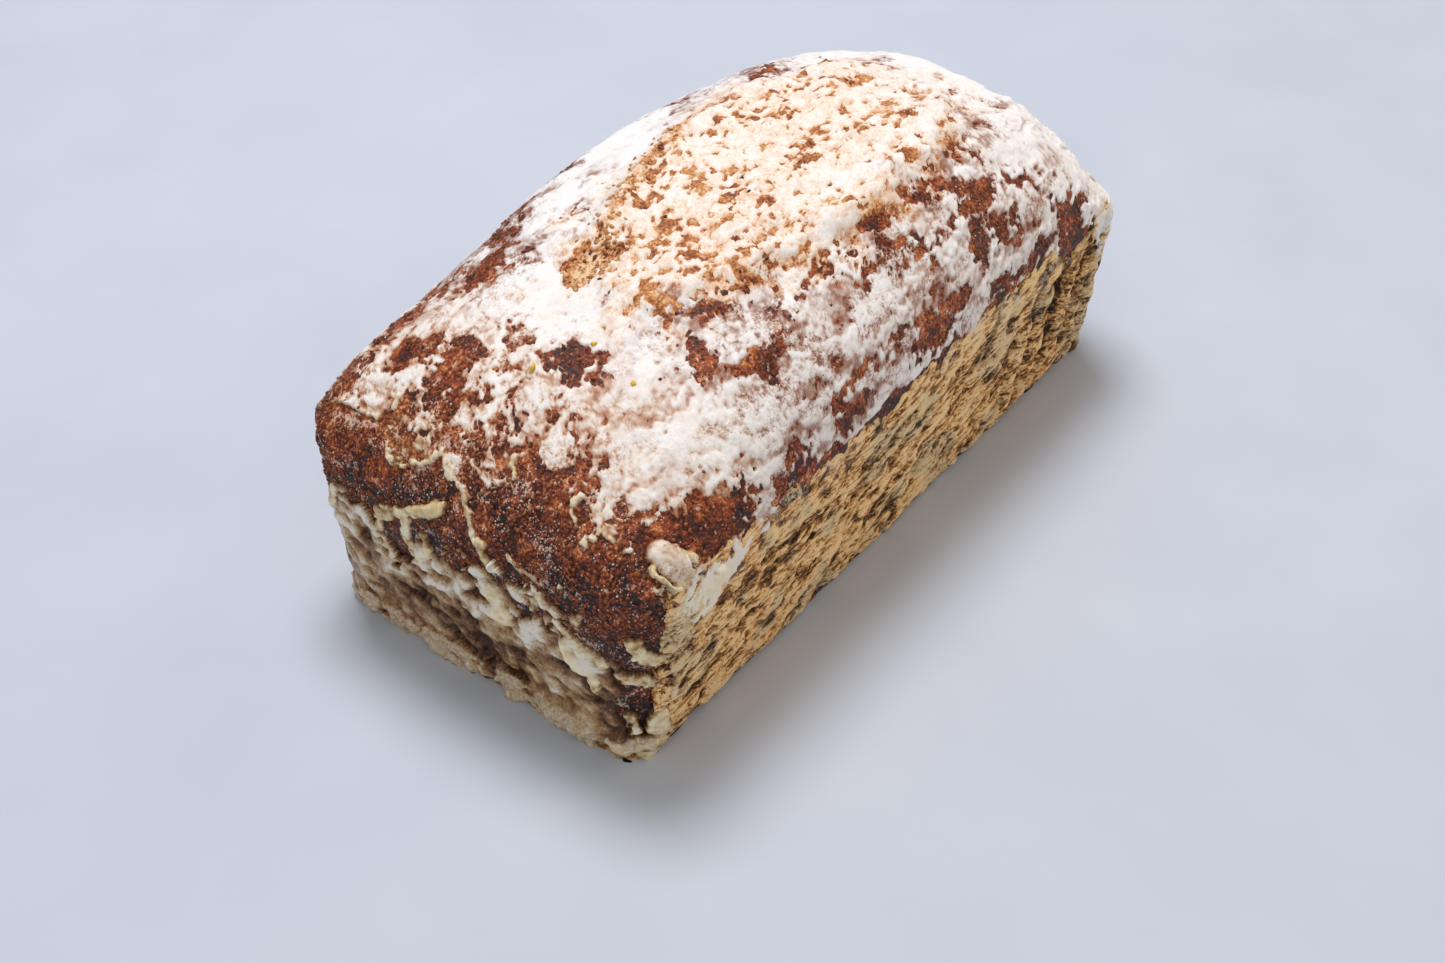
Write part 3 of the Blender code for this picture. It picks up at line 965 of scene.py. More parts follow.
    def bareness(self, points: Array) -> Array:
        """1 where the crust shows, 0 where glaze or film hides it.

        Args:
            points: rows of x, y, z.

        Returns:
            One share for each point.
        """
        x, _, z = points.T
        edge = smooth(self.lower_edge(points), -1.2, 0.6)
        crown = smooth(self.crown_body(points) * edge, 0.30, 0.42)
        end = end_share(x)
        hidden = np.maximum(crown, (1 - end) * smooth(64 - z, 0, 6))
        return (1 - hidden) * smooth(z, 40 * end, 44 * end + 1)

    def lower_edge(self, points: Array) -> Array:
        """Below 0 under the ragged line where the crown's glaze ends, above 0 over it.

        Args:
            points: rows of x, y, z.

        Returns:
            One height over that line for each point.
        """
        x, y, z = points.T
        line = 57 + 4 * smooth(x, -70, -45) - 12 * smooth(-x, 70, 92)
        line -= 26 * smooth(x, 82, 98)
        line = np.where(y > 0, 54 - 10 * smooth(np.abs(x), 80, 100), line)
        line += self.grain.layers(points + 41, (14, 3.0), (6, 1.6), (2.5, 0.9))
        end = smooth(-x, 96, 106) * smooth(60 - np.abs(y), 1, 6)
        across, height = zip(*NEAR_LOBES)
        ragged = self.grain.layers(points + 43, (6, 2.0), (2.6, 1.6), (1.3, 1.0))
        lobes = np.interp(y, across, height) + ragged
        return z - line * (1 - end) - lobes * end

    def crown_depth(self, body: Array, edge: Array) -> Array:
        """Height of the glaze's surface over the crust, negative where the crust is bare.

        Args:
            body: how much glaze lies there.
            edge: height over the glaze's lower edge.

        Returns:
            One height for each point.
        """
        body = body * smooth(edge, -1.2, 0.6)
        sheet = self.film_height * smooth(body, 0.28, 0.40)
        sheet += self.white_height * smooth(body, 0.6, 1.1)
        return sheet - self.sunk - self.buried * smooth(-edge, 0.8, 4)

    def stain(self, points: Array) -> Array:
        """How a drip's colour varies from place to place, about 0 on the whole."""
        return self.grain.layers(points + 9, (3.4, 0.5), (1.4, 0.4))


# ---- Shader nodes ----


def add_node(tree: Tree, kind: str, inputs: dict | None = None, **settings: object) -> Node:
    """Adds a node to a tree.

    Args:
        tree: the tree.
        kind: the node's type.
        inputs: for each socket, by name or number, its value or the socket that feeds it.
        settings: the node's other settings.

    Returns:
        The node.
    """
    node = tree.nodes.new(kind)
    for key, value in settings.items():
        setattr(node, key, value)
    for key, value in (inputs or {}).items():
        if isinstance(value, Socket):
            tree.links.new(value, node.inputs[key])
        else:
            node.inputs[key].default_value = value
    return node


def colours_by(tree: Tree, factor: Socket, stops: dict[float, str]) -> Socket:
    """A colour that follows a factor through named stops.

    Args:
        tree: the tree.
        factor: what picks the colour.
        stops: hex colours by factor.

    Returns:
        The colour's socket.
    """
    node = add_node(tree, "ShaderNodeValToRGB", {0: factor})
    ramp = node.color_ramp
    for number, (place, code) in enumerate(stops.items()):
        stop = ramp.elements[number] if number < 2 else ramp.elements.new(place)
        stop.position = place
        stop.color = colour(code)
    return node.outputs["Color"]


class Maker:
    """Short names for what every finish needs from its node tree."""

    def __init__(self, name: str) -> None:
        """Starts a material with an empty tree.

        Args:
            name: the material's name.
        """
        self.material = bpy.data.materials.new(name)
        self.material.use_nodes = True
        self.tree = self.material.node_tree
        self.tree.nodes.clear()
        self.coords = add_node(self.tree, "ShaderNodeTexCoord").outputs["Object"]

    def grain(self, size: float, detail: float, rough: float, at: Socket | None = None) -> Socket:
        """Fine noise with lumps of a size in millimetres.

        Args:
            size: the lumps' size.
            detail: how many finer layers it has.
            rough: how strong they are.
            at: other coordinates than the object's own.

        Returns:
            The noise's socket.
        """
        vector = {"Vector": at or self.coords, "Scale": 1 / (size * MM)}
        inputs = vector | {"Detail": detail, "Roughness": rough}
        return add_node(self.tree, "ShaderNodeTexNoise", inputs).outputs["Fac"]

    def reading(self, name: str) -> Socket:
        """A value that the mesh carries."""
        return add_node(self.tree, "ShaderNodeAttribute", attribute_name=name).outputs["Fac"]

    def sums(self, operation: str, *values: object) -> Socket:
        """A sum in one math node."""
        inputs = dict(enumerate(values))
        return add_node(self.tree, "ShaderNodeMath", inputs, operation=operation).outputs[0]

    def total(self, start: object, *parts: tuple[Socket, float]) -> Socket:
        """A start value with each part added at its weight.

        Args:
            start: a value or a socket.
            parts: sockets, each with its weight.

        Returns:
            The sum's socket.
        """
        for part, weight in parts:
            start = self.sums("MULTIPLY_ADD", part, weight, start)
        return start

    def between(self, value: Socket, *ends: float) -> Socket:
        """A value carried from one range to another, by default 0 to 1, and kept inside it.

        Args:
            value: the socket to carry over.
            ends: both ends of the old and of the new range.

        Returns:
            The carried value's socket.
        """
        labels = ("From Min", "From Max", "To Min", "To Max")
        inputs = {"Value": value} | dict(zip(labels, ends))
        return add_node(self.tree, "ShaderNodeMapRange", inputs).outputs["Result"]

    def mixed(self, share: object, first: object, second: object) -> Socket:
        """Two colours mixed."""
        inputs = {0: share, 6: first, 7: second}
        return add_node(self.tree, "ShaderNodeMix", inputs, data_type="RGBA").outputs[2]

    def finish(self, heights: list[tuple[Socket, float]], **sockets: object) -> Material:
        """Ends the tree in a surface shader.

        Args:
            heights: relief, as sockets with their depth in millimetres.
            sockets: the shader's inputs, with _ for a space.

        Returns:
            The material.
        """
        inputs = {key.replace("_", " "): value for key, value in sockets.items()}
        normal = {}
        for height, depth in heights:
            relief = {"Height": height, "Distance": depth * MM, "Strength": 1.0} | normal
            normal = {"Normal": add_node(self.tree, "ShaderNodeBump", relief).outputs["Normal"]}
        shader = add_node(self.tree, "ShaderNodeBsdfPrincipled", inputs | normal)
        add_node(self.tree, "ShaderNodeOutputMaterial", {"Surface": shader.outputs[0]})
        return self.material


@dataclass(frozen=True)
class GlazeFinish:
    """Set sugar glaze: from a brown film over crust to white, golden on the burst, grey-brown on
    the ends.
    """

    name: str = "sugar glaze"
    sheen_roughness: float = 0.3
    chalk_roughness: float = 0.6
    body_range: float = 1.25

    def build(self) -> Material:
        """Builds the material.

        Returns:
            The material.
        """
        m = Maker(self.name)
        body, gold, cream, grey_and_shade = (m.reading(k) for k in ("body", "gold", "cream", "grey_and_shade"))
        fine, coarse, frost = m.grain(0.75, 4, 0.7), m.grain(2.4, 3, 0.6), m.grain(0.38, 2, 0.6)
        spread = m.total(-1.3, (coarse, 0.7), (fine, 1.5), (frost, 0.4))
        value = m.total(body, (spread, m.reading("frost")))
        factor = m.sums("DIVIDE", value, self.body_range)
        white, golden, creamy, shaded_grey = (colours_by(m.tree, factor, stops) for stops in (
            {
                0.12: "3a1a0f", 0.24: "683420", 0.34: "926352", 0.44: "b59385",
                0.54: "d4c4bb", 0.66: "ebe4df", 0.90: "f9f6f3",
            },
            {
                0.10: "6f3514", 0.24: "a25624", 0.35: "cf8747", 0.46: "e5b384",
                0.60: "eed0b3", 0.78: "f7e3d1", 0.95: "fcf3ea",
            },
            {0.15: "64421d", 0.35: "a98549", 0.6: "dec68e", 0.95: "f5e9c6"},
            {
                0.12: "241006", 0.28: "583415", 0.42: "896037",
                0.56: "af8c62", 0.70: "c8b699", 0.90: "ece6da",
            },
        ))
        shade = m.mixed(gold, white, golden)
        # Grey-brown on the ends: partly the glaze's translucency over the crust, partly painted
        # shade.
        shade = m.mixed(grey_and_shade, shade, shaded_grey)
        shade = m.mixed(cream, shade, creamy)
        wet = m.total(value, (m.sums("MAXIMUM", grey_and_shade, cream), -0.4))
        return m.finish(
            [(coarse, 0.3), (fine, 0.22)],
            Base_Color=shade, IOR=1.45,
            Roughness=m.between(wet, 0.4, 1.0, self.sheen_roughness, self.chalk_roughness),
            Subsurface_Weight=0.12, Subsurface_Scale=MM, Subsurface_Radius=(1.2, 0.8, 0.6),
        )


@dataclass(frozen=True)
class CrustFinish:
    """Dark baked crust with crumb and pale specks: a dusting of dried glaze and painted glints."""

    name: str = "baked crust"
    cell_size: float = 1.1
    # Colour of the pale specks: dried glaze and painted glints.
    powder: str = "dcbcab"

    def build(self) -> Material:
        """Builds the material.

        Returns:
            The material.
        """
        m = Maker(self.name)
        dust_and_glints, warm = m.reading("dust_and_glints"), m.reading("warm")
        crumb, lump, patch = m.grain(0.7, 4, 0.7), m.grain(1.6, 3, 0.6), m.grain(7, 3, 0.6)
        cells = {"Vector": m.coords, "Scale": 1 / (self.cell_size * MM)}
        cell = add_node(m.tree, "ShaderNodeTexVoronoi", cells).outputs["Distance"]
        # The cell term darkens the gaps between crumb cells as painted shade.
        tone = m.total(-2.31, (lump, 1.2), (crumb, 2.1), (cell, -0.35), (warm, 0.35), (patch, 2.0))
        calm = m.between(warm, 0.45, 0.75, 0.0, 0.4)
        calm = m.sums("ADD", calm, m.between(warm, 0.9, 1.2, 0.0, 0.15))
        calm = m.sums("MULTIPLY", calm, m.between(warm, 1.55, 1.8, 1.0, 0.0))
        tone = m.mixed(calm, tone, (0.56, 0.56, 0.56, 1.0))
        shade = colours_by(m.tree, tone, {
            0.08: "140502", 0.26: "381206", 0.42: "66260c",
            0.56: "924017", 0.72: "bd6934", 0.95: "e5ac7e",
        })
        golden = colours_by(m.tree, tone, {
            0.26: "2e150a", 0.42: "703616", 0.56: "a95f2b", 0.70: "cf8f52", 0.92: "f0cfa4",
        })
        shade = m.mixed(m.between(warm, 0.7, 1.2), shade, golden)
        # Pale specks over the crumb: partly a dusting of dried glaze, partly painted glints.
        specks, veil = m.grain(0.7, 3, 0.7), m.grain(3.2, 4, 0.7)
        cover = m.total(-1.07, (specks, 1.0), (veil, 1.3), (dust_and_glints, 0.42))
        powder = m.between(cover, 0.50, 0.64, 0.0, 0.8)
        return m.finish(
            [(lump, 0.35), (cell, 0.25), (crumb, 0.2)],
            Base_Color=m.mixed(powder, shade, colour(self.powder)), IOR=1.45,
            Roughness=m.between(lump, 0.3, 0.7, 0.36, 0.75),
        )


@dataclass(frozen=True)
class FilmFinish:
    """Thin tan film on the long walls; painted shade in dents, folds and foot; dried glaze flakes.
    """

    name: str = "wall film"
    tilt: float = 27.0
    stretch: float = 0.25
    flakes: str = "f3e6c8"

    def build(self) -> Material:
        """Builds the material.

        Returns:
            The material.
        """
        m = Maker(self.name)
        hollow_shade, darkening, pale, grey = (m.reading(k) for k in ("hollow_shade", "darkening", "pale", "grey"))
        turned = add_node(m.tree, "ShaderNodeMapping", {
            "Vector": m.coords, "Rotation": (0.0, math.radians(self.tilt), 0.0),
            "Scale": (self.stretch, 1.0, 1.0),
        }).outputs["Vector"]
        streak = m.grain(1.1, 4, 0.7, turned)
        fine, broad = m.grain(0.6, 3, 0.6), m.grain(9, 3, 0.55)
        # Painted shade: the tone darkens in the wall's dents and fold grooves and along its foot.
        tone = m.total(
            -1.93, (streak, 3.2), (fine, 1.0), (hollow_shade, -0.56), (darkening, -0.22), (broad, 1.4)
        )
        # The tan is the film's own colour, warmed and brightened as painted warm light reflected
        # up onto the wall.
        tan = colours_by(m.tree, tone, {
            0.00: "35261b", 0.20: "5c452f", 0.37: "87613b",
            0.52: "b98046", 0.68: "e2aa6a", 0.94: "fddaa2",
        })
        dry = colours_by(m.tree, tone, {
            0.04: "3a2f22", 0.28: "6f5f49", 0.52: "a5906c", 0.85: "dac9a2",
        })
        shade = m.mixed(m.sums("MULTIPLY", grey, 0.6), tan, dry)
        whiter = m.sums("MULTIPLY", pale, m.between(m.grain(1.6, 4, 0.7), 0.45, 0.6))
        return m.finish(
            [(streak, 0.5), (fine, 0.18)],
            Base_Color=m.mixed(whiter, shade, colour(self.flakes)),
            Roughness=0.8, IOR=1.45, Specular_IOR_Level=0.2,
            Subsurface_Weight=0.05, Subsurface_Scale=MM, Subsurface_Radius=(1.0, 0.7, 0.5),
        )


@dataclass(frozen=True)
class GritFinish:
    """Small things scattered over the cake: a colour that varies from grain to grain."""

    name: str
    dark: str
    middle: str
    light: str
    roughness: float
    spread: float = 1.8

    def build(self) -> Material:
        """Builds the material.

        Returns:
            The material.
        """
        m = Maker(self.name)
        tone = m.grain(self.spread, 2, 0.6)
        shade = colours_by(m.tree, tone, {0.28: self.dark, 0.5: self.middle, 0.72: self.light})
        relief = [(m.grain(0.3, 2, 0.5), 0.05)]
        return m.finish(relief, Base_Color=shade, Roughness=self.roughness, IOR=1.45)


@dataclass(frozen=True)
class FloorFinish:
    """The plain pale floor."""

    name: str = "pale floor"
    dark: str = "c3cbd8"
    light: str = "c9d1dd"

    def build(self) -> Material:
        """Builds the material.

        Returns:
            The material.
        """
        m = Maker(self.name)
        shade = colours_by(m.tree, m.grain(60, 3, 0.5), {0.3: self.dark, 0.7: self.light})
        return m.finish([], Base_Color=shade, Roughness=0.8)


# ---- The cake's parts ----


@dataclass
class Crust:
    """The whole baked loaf, closed, with crumb relief."""

    form: LoafForm
    glaze: GlazeMap
    along: int = 250
    across: int = 116
    up: int = 56

    def build(self, material: Material) -> Object:
        """Builds the crust.

        Args:
            material: its finish.

        Returns:
            The piece.
        """
        net = full_net(self.along, self.across, self.up, 0.0)
        points, facing = net.laid_on(self.form)
        layers = self.glaze.grain.layers
        x, y, z = points.T
        end, near_end = end_share(x), smooth(-x, 95, 105)
        lumps = layers(points + 91, (3.0, 0.16), (1.9, 0.14))
        under = smooth((57 - 19 * end) - z, 0, 4)
        solid = lifted(points, facing, (lumps - under) * smooth(z, 0, 3))
        # Where the pale specks gather: dried glaze dust and painted glints on the crumb.
        dust_and_glints = 0.35 + layers(points + 19, (9, 0.45), (4, 0.3))
        dust_and_glints += 0.42 * smooth(-x, 95, 106) - 0.25 * bell(z, 52, 8) * near_end
        warm = 0.4 + 0.35 * smooth(z, 50, 75) - 0.35 * bell(z, 50, 9) * near_end
        warm += 0.3 * near_end * smooth(y, 0, 25)
        warm += 0.7 * smooth(self.form.burst_share(x, y), 0.9, 1.05)
        warm += 0.4 * self.form.tear.at(x, y)
        bare = self.glaze.bareness(points) * (net.level > 0.02)
        clumps = smooth(layers(points + 83, (6, 0.8), (2.5, 0.5)), -0.3, 0.5)
        powder = smooth(layers(points + 87, (8, 0.8), (3, 0.5)), -0.1, 0.5)
        values = {
            "dust_and_glints": dust_and_glints,
            "warm": warm,
            "crust_crumbs": bare * (0.3 + 0.7 * clumps) * (0.45 + 0.55 * end),
            "sugar_grains": bare * (0.1 + 0.9 * powder) * (0.12 + 0.88 * smooth(-x, 88, 102)),
        }
        turned = facing_of(solid, net.faces)
        return make_piece("crust", solid, turned, net.faces, (0, 0, 0), values, material)


@dataclass
class CrownGlaze:
    """The glaze over the crown, in a near and a far piece that overlap by a strip."""

    form: LoafForm
    glaze: GlazeMap
    along: int = 480
    across: int = 250
    down: int = 34
    low: float = 0.42
    strip: float = 0.006
    strip_depth: float = 0.03

    def build(self, material: Material) -> list[Object]:
        """Builds both pieces.

        Args:
            material: the glaze.

        Returns:
            The near piece and the far piece.
        """
        net = full_net(self.along, self.across, self.down, self.low)
        points, facing = net.laid_on(self.form)
        x, y, z = points.T
        layers = self.glaze.grain.layers
        body, edge = self.glaze.crown_body(points), self.glaze.lower_edge(points)
        upper = smooth(z, 50, 56)
        proud, inside, drip_cream = (d * upper for d in self.glaze.drips(points, facing))
        stain = self.glaze.stain(points)
        glassy = np.clip(inside - 2 * drip_cream, 0, 1)
        body = np.maximum(body, (0.86 + 0.5 * stain) * inside * (1 - glassy))
        body += (0.92 + 0.6 * stain - body) * glassy
        edge += np.maximum(3 - edge, 0) * smooth(inside, 0, 0.3)
        lip = 0.6 * smooth(-x, 90, 104) * bell(edge, 1.1, 1.0) * smooth(body, 0.25, 0.5)
        depth = self.glaze.crown_depth(body, edge) + proud + 0.8 * lip
        fray = layers(points + 203, (12, 0.25), (5, 0.2), (2.2, 0.12))
        burst = smooth(self.form.burst_share(x, y) + fray, 0.72, 1.2)
        seam, torn = self.form.seam_share(x, y), self.form.tear.at(x, y)
        fold = self.glaze.creases(points)
        body += 0.25 * fold
        depth += layers(points + 33, (2.2, 0.12), (1.2, 0.08))
        depth += 0.7 * fold * smooth(body, 0.2, 0.5) - 0.3 * burst * self.glaze.marks(points)
        solid = lifted(points, facing, depth)
        gold = burst * (1 - 0.55 * smooth(x, 40, 80)) + 0.8 * torn
        gold = np.maximum(gold, 0.4 * smooth(-x, 50, 85))
        wet = layers(points + 3, (9, 0.5), (4, 0.3))
        corner = smooth(-x, 60, 84) * smooth(-y, 44, 52) * (1 - smooth(z, 54, 61))
        rim = smooth(-x, 96, 102) * (1 - smooth(z, 72, 80)) * smooth(wet, -0.2, 0.5)
        cream = 0.9 * drip_cream + 0.6 * corner + 0.4 * rim + 0.6 * lip
        # Grey-brown low on both ends: translucent glaze and painted shade.
        grey_and_shade = smooth(-z, -70, -52) * smooth(np.abs(x), 70, 100) * (1 - corner)
        frost = 0.2 + 0.8 * smooth(layers(points + 211, (9, 0.8), (4, 0.5)), -0.2, 0.2)
        frost *= 1 - 0.7 * self.glaze.smears(points)
        middle = smooth(30 - np.abs(y + 8), 0, 10)
        values = {
            "body": body * smooth(edge, -1.5, 0.3),
            "gold": np.clip(np.maximum(gold, seam), 0, 1),
            "cream": np.clip(cream, 0, 0.9),
            "grey_and_shade": 0.35 * np.maximum(grey_and_shade, glassy),
            "frost": np.maximum(frost, burst),
            "golden_crumbs": np.clip(0.5 * seam**3 + 0.8 * smooth(torn, 0.2, 0.6), 0, 1),
            "poppy_seeds": 0.12 + 0.9 * burst + 0.6 * smooth(-x, 60, 90),
            "zest_flecks": smooth(-x, 55, 75) * (1 - smooth(-x, 88, 96)) * middle,
        }
        turned = facing_of(solid, net.faces)
        along = net.u * (2 - np.maximum(net.level, 1))
        sunk = solid - facing * (self.strip_depth * (along < self.strip))[:, None]
        share = along[net.faces].mean(axis=1)
        near, far = net.faces[share < self.strip], net.faces[share > -self.strip]
        return [
            make_piece("glaze_crown_near", solid, turned, near, (-40, 0, 20), values, material),
            make_piece("glaze_crown_far", sunk, turned, far, (40, 0, 20), values, material),
        ]


@dataclass
class EndCoat:
    """The lumpy coat of glaze with a ledge along the foot on one end of the loaf; drips only on
    the near end.
    """

    form: LoafForm
    glaze: GlazeMap
    near: bool = True
    cells: int = 300
    up: int = 190
    high: float = 1.14
    near_span: tuple[float, float] = (2.93, 4.05)
    far_span: tuple[float, float] = (0.93, 2.07)
    ledge_height: float = 9.0
    ledge: float = 2.4
    coat_height: float = 42.0
    thickness: float = 1.2
    sunk: float = 1.3

    def cover(self, points: Array) -> tuple[Array, Array]:
        """Where the coat lies.

        Args:
            points: the net's points.

        Returns:
            The glaze's body and how proud it stands.
        """
        layers = self.glaze.grain.layers
        seed = 0.0 if self.near else 140.0
        moved = points + seed
        _, y, z = points.T
        ragged = layers(moved + 29, (14, 6.0), (6, 6.0), (2.6, 4.0), (1.3, 2.2))
        top = self.coat_height + 2.5 * bell(y, -8, 14) - 8 * bell(y, 24, 7) - 3 * bell(y, -42, 8)
        inside = smooth(top + ragged - z, -0.8, 1.2)
        inside *= (1 - smooth(-y, 41, 49)) * (1 - smooth(y, 47, 55))
        leaning = np.stack((moved[:, 0], (y + 0.4 * z) / 1.2 + seed, z - 0.4 * y), axis=1)
        waves = layers(leaning + 31, (9, 1.0), (4.6, 0.7), (2.2, 0.35))
        lumps = 1.2 * layers(leaning + 35, (9, 0.9), (4.6, 0.8), (2.2, 0.5))
        lumps += 0.08 - 0.3 * np.abs(waves)
        high = smooth(z, 24, 36)
        thick = self.thickness + (0.7 + 0.6 * high) * lumps
        sunk = smooth(-z, -30, -21) * smooth(28 - y, 0, 14)
        # Lighter on the lumps and high up, darker between them and low down: whiter where the
        # glaze is thicker, and painted shade in the hollows and on the lower half.
        body = inside * (0.70 + (0.4 + 0.25 * high) * lumps - 0.26 * sunk + 0.22 * high)
        body = np.maximum(body, 0.24 * inside)
        foot = smooth(-z, -self.ledge_height - 1.5, -self.ledge_height + 0.8)
        foot *= 0.62 + layers(moved + 23, (9, 0.8), (4, 0.5), (1.8, 0.3))
        proud = inside * thick * (1 - 0.45 * sunk) * (1 - 0.75 * smooth(y, 42, 50))
        proud += self.ledge * np.clip(foot, 0, 1.3)
        return np.maximum(body, 0.85 * smooth(foot, 0.2, 0.6)), proud

    def build(self, material: Material) -> Object:
        """Builds the coat.

        Args:
            material: the glaze.

        Returns:
            The piece.
        """
        span = self.near_span if self.near else self.far_span
        net = round_net(*span, self.cells, self.up, self.high)
        points, facing = net.laid_on(self.form)
        x, _, z = points.T
        layers = self.glaze.grain.layers
        body, proud = self.cover(points)
        lower = (1 - smooth(z, 56, 60)) * self.near
        drop, inside, drip_cream = (d * lower for d in self.glaze.drips(points, facing))
        at_end = smooth(np.abs(x), 97, 101)
        stain = self.glaze.stain(points)
        body = np.maximum(body * at_end, (0.60 + 0.2 * drop + 0.9 * stain) * inside)
        proud = np.maximum(proud * at_end, 0.6 * proud * at_end + drop)
        sunk = self.sunk * (1 - smooth(np.maximum(body, inside), 0.18, 0.36))
        fine = layers(points + 33, (2.2, 0.12), (1.1, 0.08))
        solid = lifted(points, facing, (proud + fine) * smooth(body, 0.2, 0.34) - sunk)
        flecks = smooth(layers(points + 63, (7, 0.7), (3, 0.4)), 0.25, 0.7)
        cream = drip_cream + 0.4 * flecks * smooth(-z, -44, -30) * smooth(z, 9, 14)
        values = {
            "body": body,
            "gold": np.zeros_like(body),
            "cream": np.clip(cream, 0, 0.9),
            # The coat is grey-brown but for its cream drips: translucent glaze and painted shade.
            "grey_and_shade": np.clip(1 - 0.9 * drip_cream, 0, 1),
            "frost": np.full_like(body, 0.6),
        }
        turned = facing_of(solid, net.faces)
        name, apex_x = ("glaze_near_end", -60) if self.near else ("glaze_far_end", 60)
        return make_piece(name, solid, turned, net.faces, (apex_x, 0, 25), values, material)


@dataclass
class WallFilm:
    """The thin tan film on one long wall."""

    form: LoafForm
    glaze: GlazeMap
    near: bool = True
    cells: int = 440
    up: int = 130
    high: float = 1.12
    near_span: tuple[float, float] = (0.02, 0.985)
    back_span: tuple[float, float] = (2.015, 2.98)
    edge_height: float = 61.0
    sunk: float = 1.3
    thickness: float = 0.35

    def build(self, material: Material) -> Object:
        """Builds the film.

        Args:
            material: its finish.

        Returns:
            The piece.
        """
        span = self.near_span if self.near else self.back_span
        net = round_net(*span, self.cells, self.up, self.high)
        points, facing = net.laid_on(self.form)
        x, _, z = points.T
        layers = self.glaze.grain.layers
        edge = self.edge_height + layers(points + 47, (12, 2.4), (5, 1.6), (2, 0.8))
        edge -= 9 * smooth(x, 66, 72) * (1 - smooth(x, 80, 88))
        held = smooth(edge - z, -0.6, 0.6)
        held *= smooth(z + layers(points + 55, (5, 1.5), (2, 1.0)), 0.2, 1.6)
        held *= smooth(103 - np.abs(x) + layers(points + 53, (5, 2.0), (2, 1.0)), 0, 1.5)
        steep = slanted(points, 3.2, 26)
        coarse = smooth(layers(steep + 67, (4.6, 0.8), (2.4, 0.6), (1.3, 0.5)), 0.0, 0.5)
        strokes = layers(slanted(points, 5, 28) + 167, (2.6, 0.6), (1.3, 0.5))
        # Painted shade: darker with the depth of the dents, the coarse dents and the fold grooves.
        hollow_shade = np.maximum(0.95 * self.form.dents(points), 0.85 * coarse) - 0.4 * strokes
        hollow_shade += 1.1 * smooth(-self.form.folds(points), 0.3, 1.6)
        hollow_shade = np.clip(hollow_shade, 0, 1.3)
        if not self.near:
            coarse, hollow_shade = 0.7 * coarse, 0.75 * hollow_shade
        relief = layers(points + 33, (2.6, 0.14), (1.2, 0.08)) + 0.4 * strokes - 0.45 * coarse
        shown = self.thickness + self.sunk + relief
        solid = lifted(points, facing, held * shown - self.sunk)
        # A darker band in broad patches about 40 mm up the wall.
        darkening = 0.8 * bell(z, 40, 7) * smooth(layers(points + 77, (16, 0.8), (6, 0.4)), -0.4, 0.6)
        pale = smooth(z, 46, 62) * smooth(layers(points + 79, (12, 0.7), (4, 0.4)), -0.3, 0.5)
        grey = smooth(layers(points * (1, 1, 0.6) + 217, (15, 0.9), (6, 0.4)), 0.2, 0.45)
        values = {
            "hollow_shade": hollow_shade,
            # Painted shade along the foot, in the lowest 6 mm of the wall.
            "darkening": darkening + 0.6 * smooth(-z, -6, 0),
            "pale": np.clip(pale + 0.8 * smooth(-z, -5, -1), 0, 1),
            "grey": np.maximum(grey, smooth(x, 82, 92)),
        }
        turned = facing_of(solid, net.faces)
        name, apex_y = ("film_near_wall", -10) if self.near else ("film_back_wall", 10)
        return make_piece(name, solid, turned, net.faces, (0, apex_y, 30), values, material)


# The middle of the cake, in metres, that the lights look at
LOOKED_AT = (0, 0, 0.05)


@dataclass(frozen=True)
class Lamp:
    """A square soft light: where it hangs and its side in metres, its watts and its colour."""

    name: str
    place: Point
    size: float
    power: float
    code: str

    def hang(self) -> None:
        """Hangs it so that it looks at the cake."""
        data = bpy.data.lights.new(self.name, "AREA")
        data.shape = "SQUARE"
        data.size = self.size
        data.energy = self.power
        data.color = colour(self.code)[:3]
        light = link(self.name, data)
        light.location = self.place
        towards = Vector(LOOKED_AT) - Vector(self.place)
        light.rotation_euler = towards.to_track_quat("-Z", "Y").to_euler()


LAMPS = (
    Lamp("overhead light", (0.14, 0.25, 1.15), 0.45, 10.2, "faf9fe"),
    Lamp("fill light", (-0.9, -0.3, 0.6), 0.7, 2.0, "fff4e6"),
    Lamp("low light", (1.3, -0.9, 0.45), 0.6, 6.2, "ffdfb8"),
)


@dataclass(frozen=True)
class Studio:
    """The floor, the soft lights and the camera at the photo's angle."""

    camera_place: Point = (-374.020, -275.273, 414.656)
    camera_turn: Point = (47.7149, -0.4535, -52.7308)
    focal_pixels: float = 2200.0
    picture_width: float = 1445.0
    sensor: float = 36.0
    floor_size: float = 6.0
    world_colour: str = "f3f4f6"
    world_strength: float = 0.36

    def camera(self) -> None:
        """Sets the camera where the photo was taken from."""
        data = bpy.data.cameras.new("camera")
        data.sensor_width = self.sensor
        data.lens = self.focal_pixels / self.picture_width * self.sensor
        data.clip_start = 0.01
        eye = link("camera", data)
        eye.location = Vector(self.camera_place) * MM
        eye.rotation_euler = [math.radians(a) for a in self.camera_turn]
        bpy.context.scene.camera = eye

    def build(self) -> None:
        """Builds floor, lights, world and camera."""
        half = self.floor_size / 2
        corners = [(-half, -half, 0), (half, -half, 0), (half, half, 0), (-half, half, 0)]
        mesh = bpy.data.meshes.new("floor")
        mesh.from_pydata(corners, [], [(0, 1, 2, 3)])
        mesh.materials.append(FloorFinish().build())
        floor = link("floor", mesh)
        for lamp in LAMPS:
            lamp.hang()
        world = bpy.data.worlds.new("studio")
        world.use_nodes = True
        back = world.node_tree.nodes["Background"]
        back.inputs["Color"].default_value = colour(self.world_colour)
        back.inputs["Strength"].default_value = self.world_strength
        bpy.context.scene.world = world
        bpy.context.scene.view_settings.view_transform = "Standard"
        self.camera()


# ---- Scattered grains ----


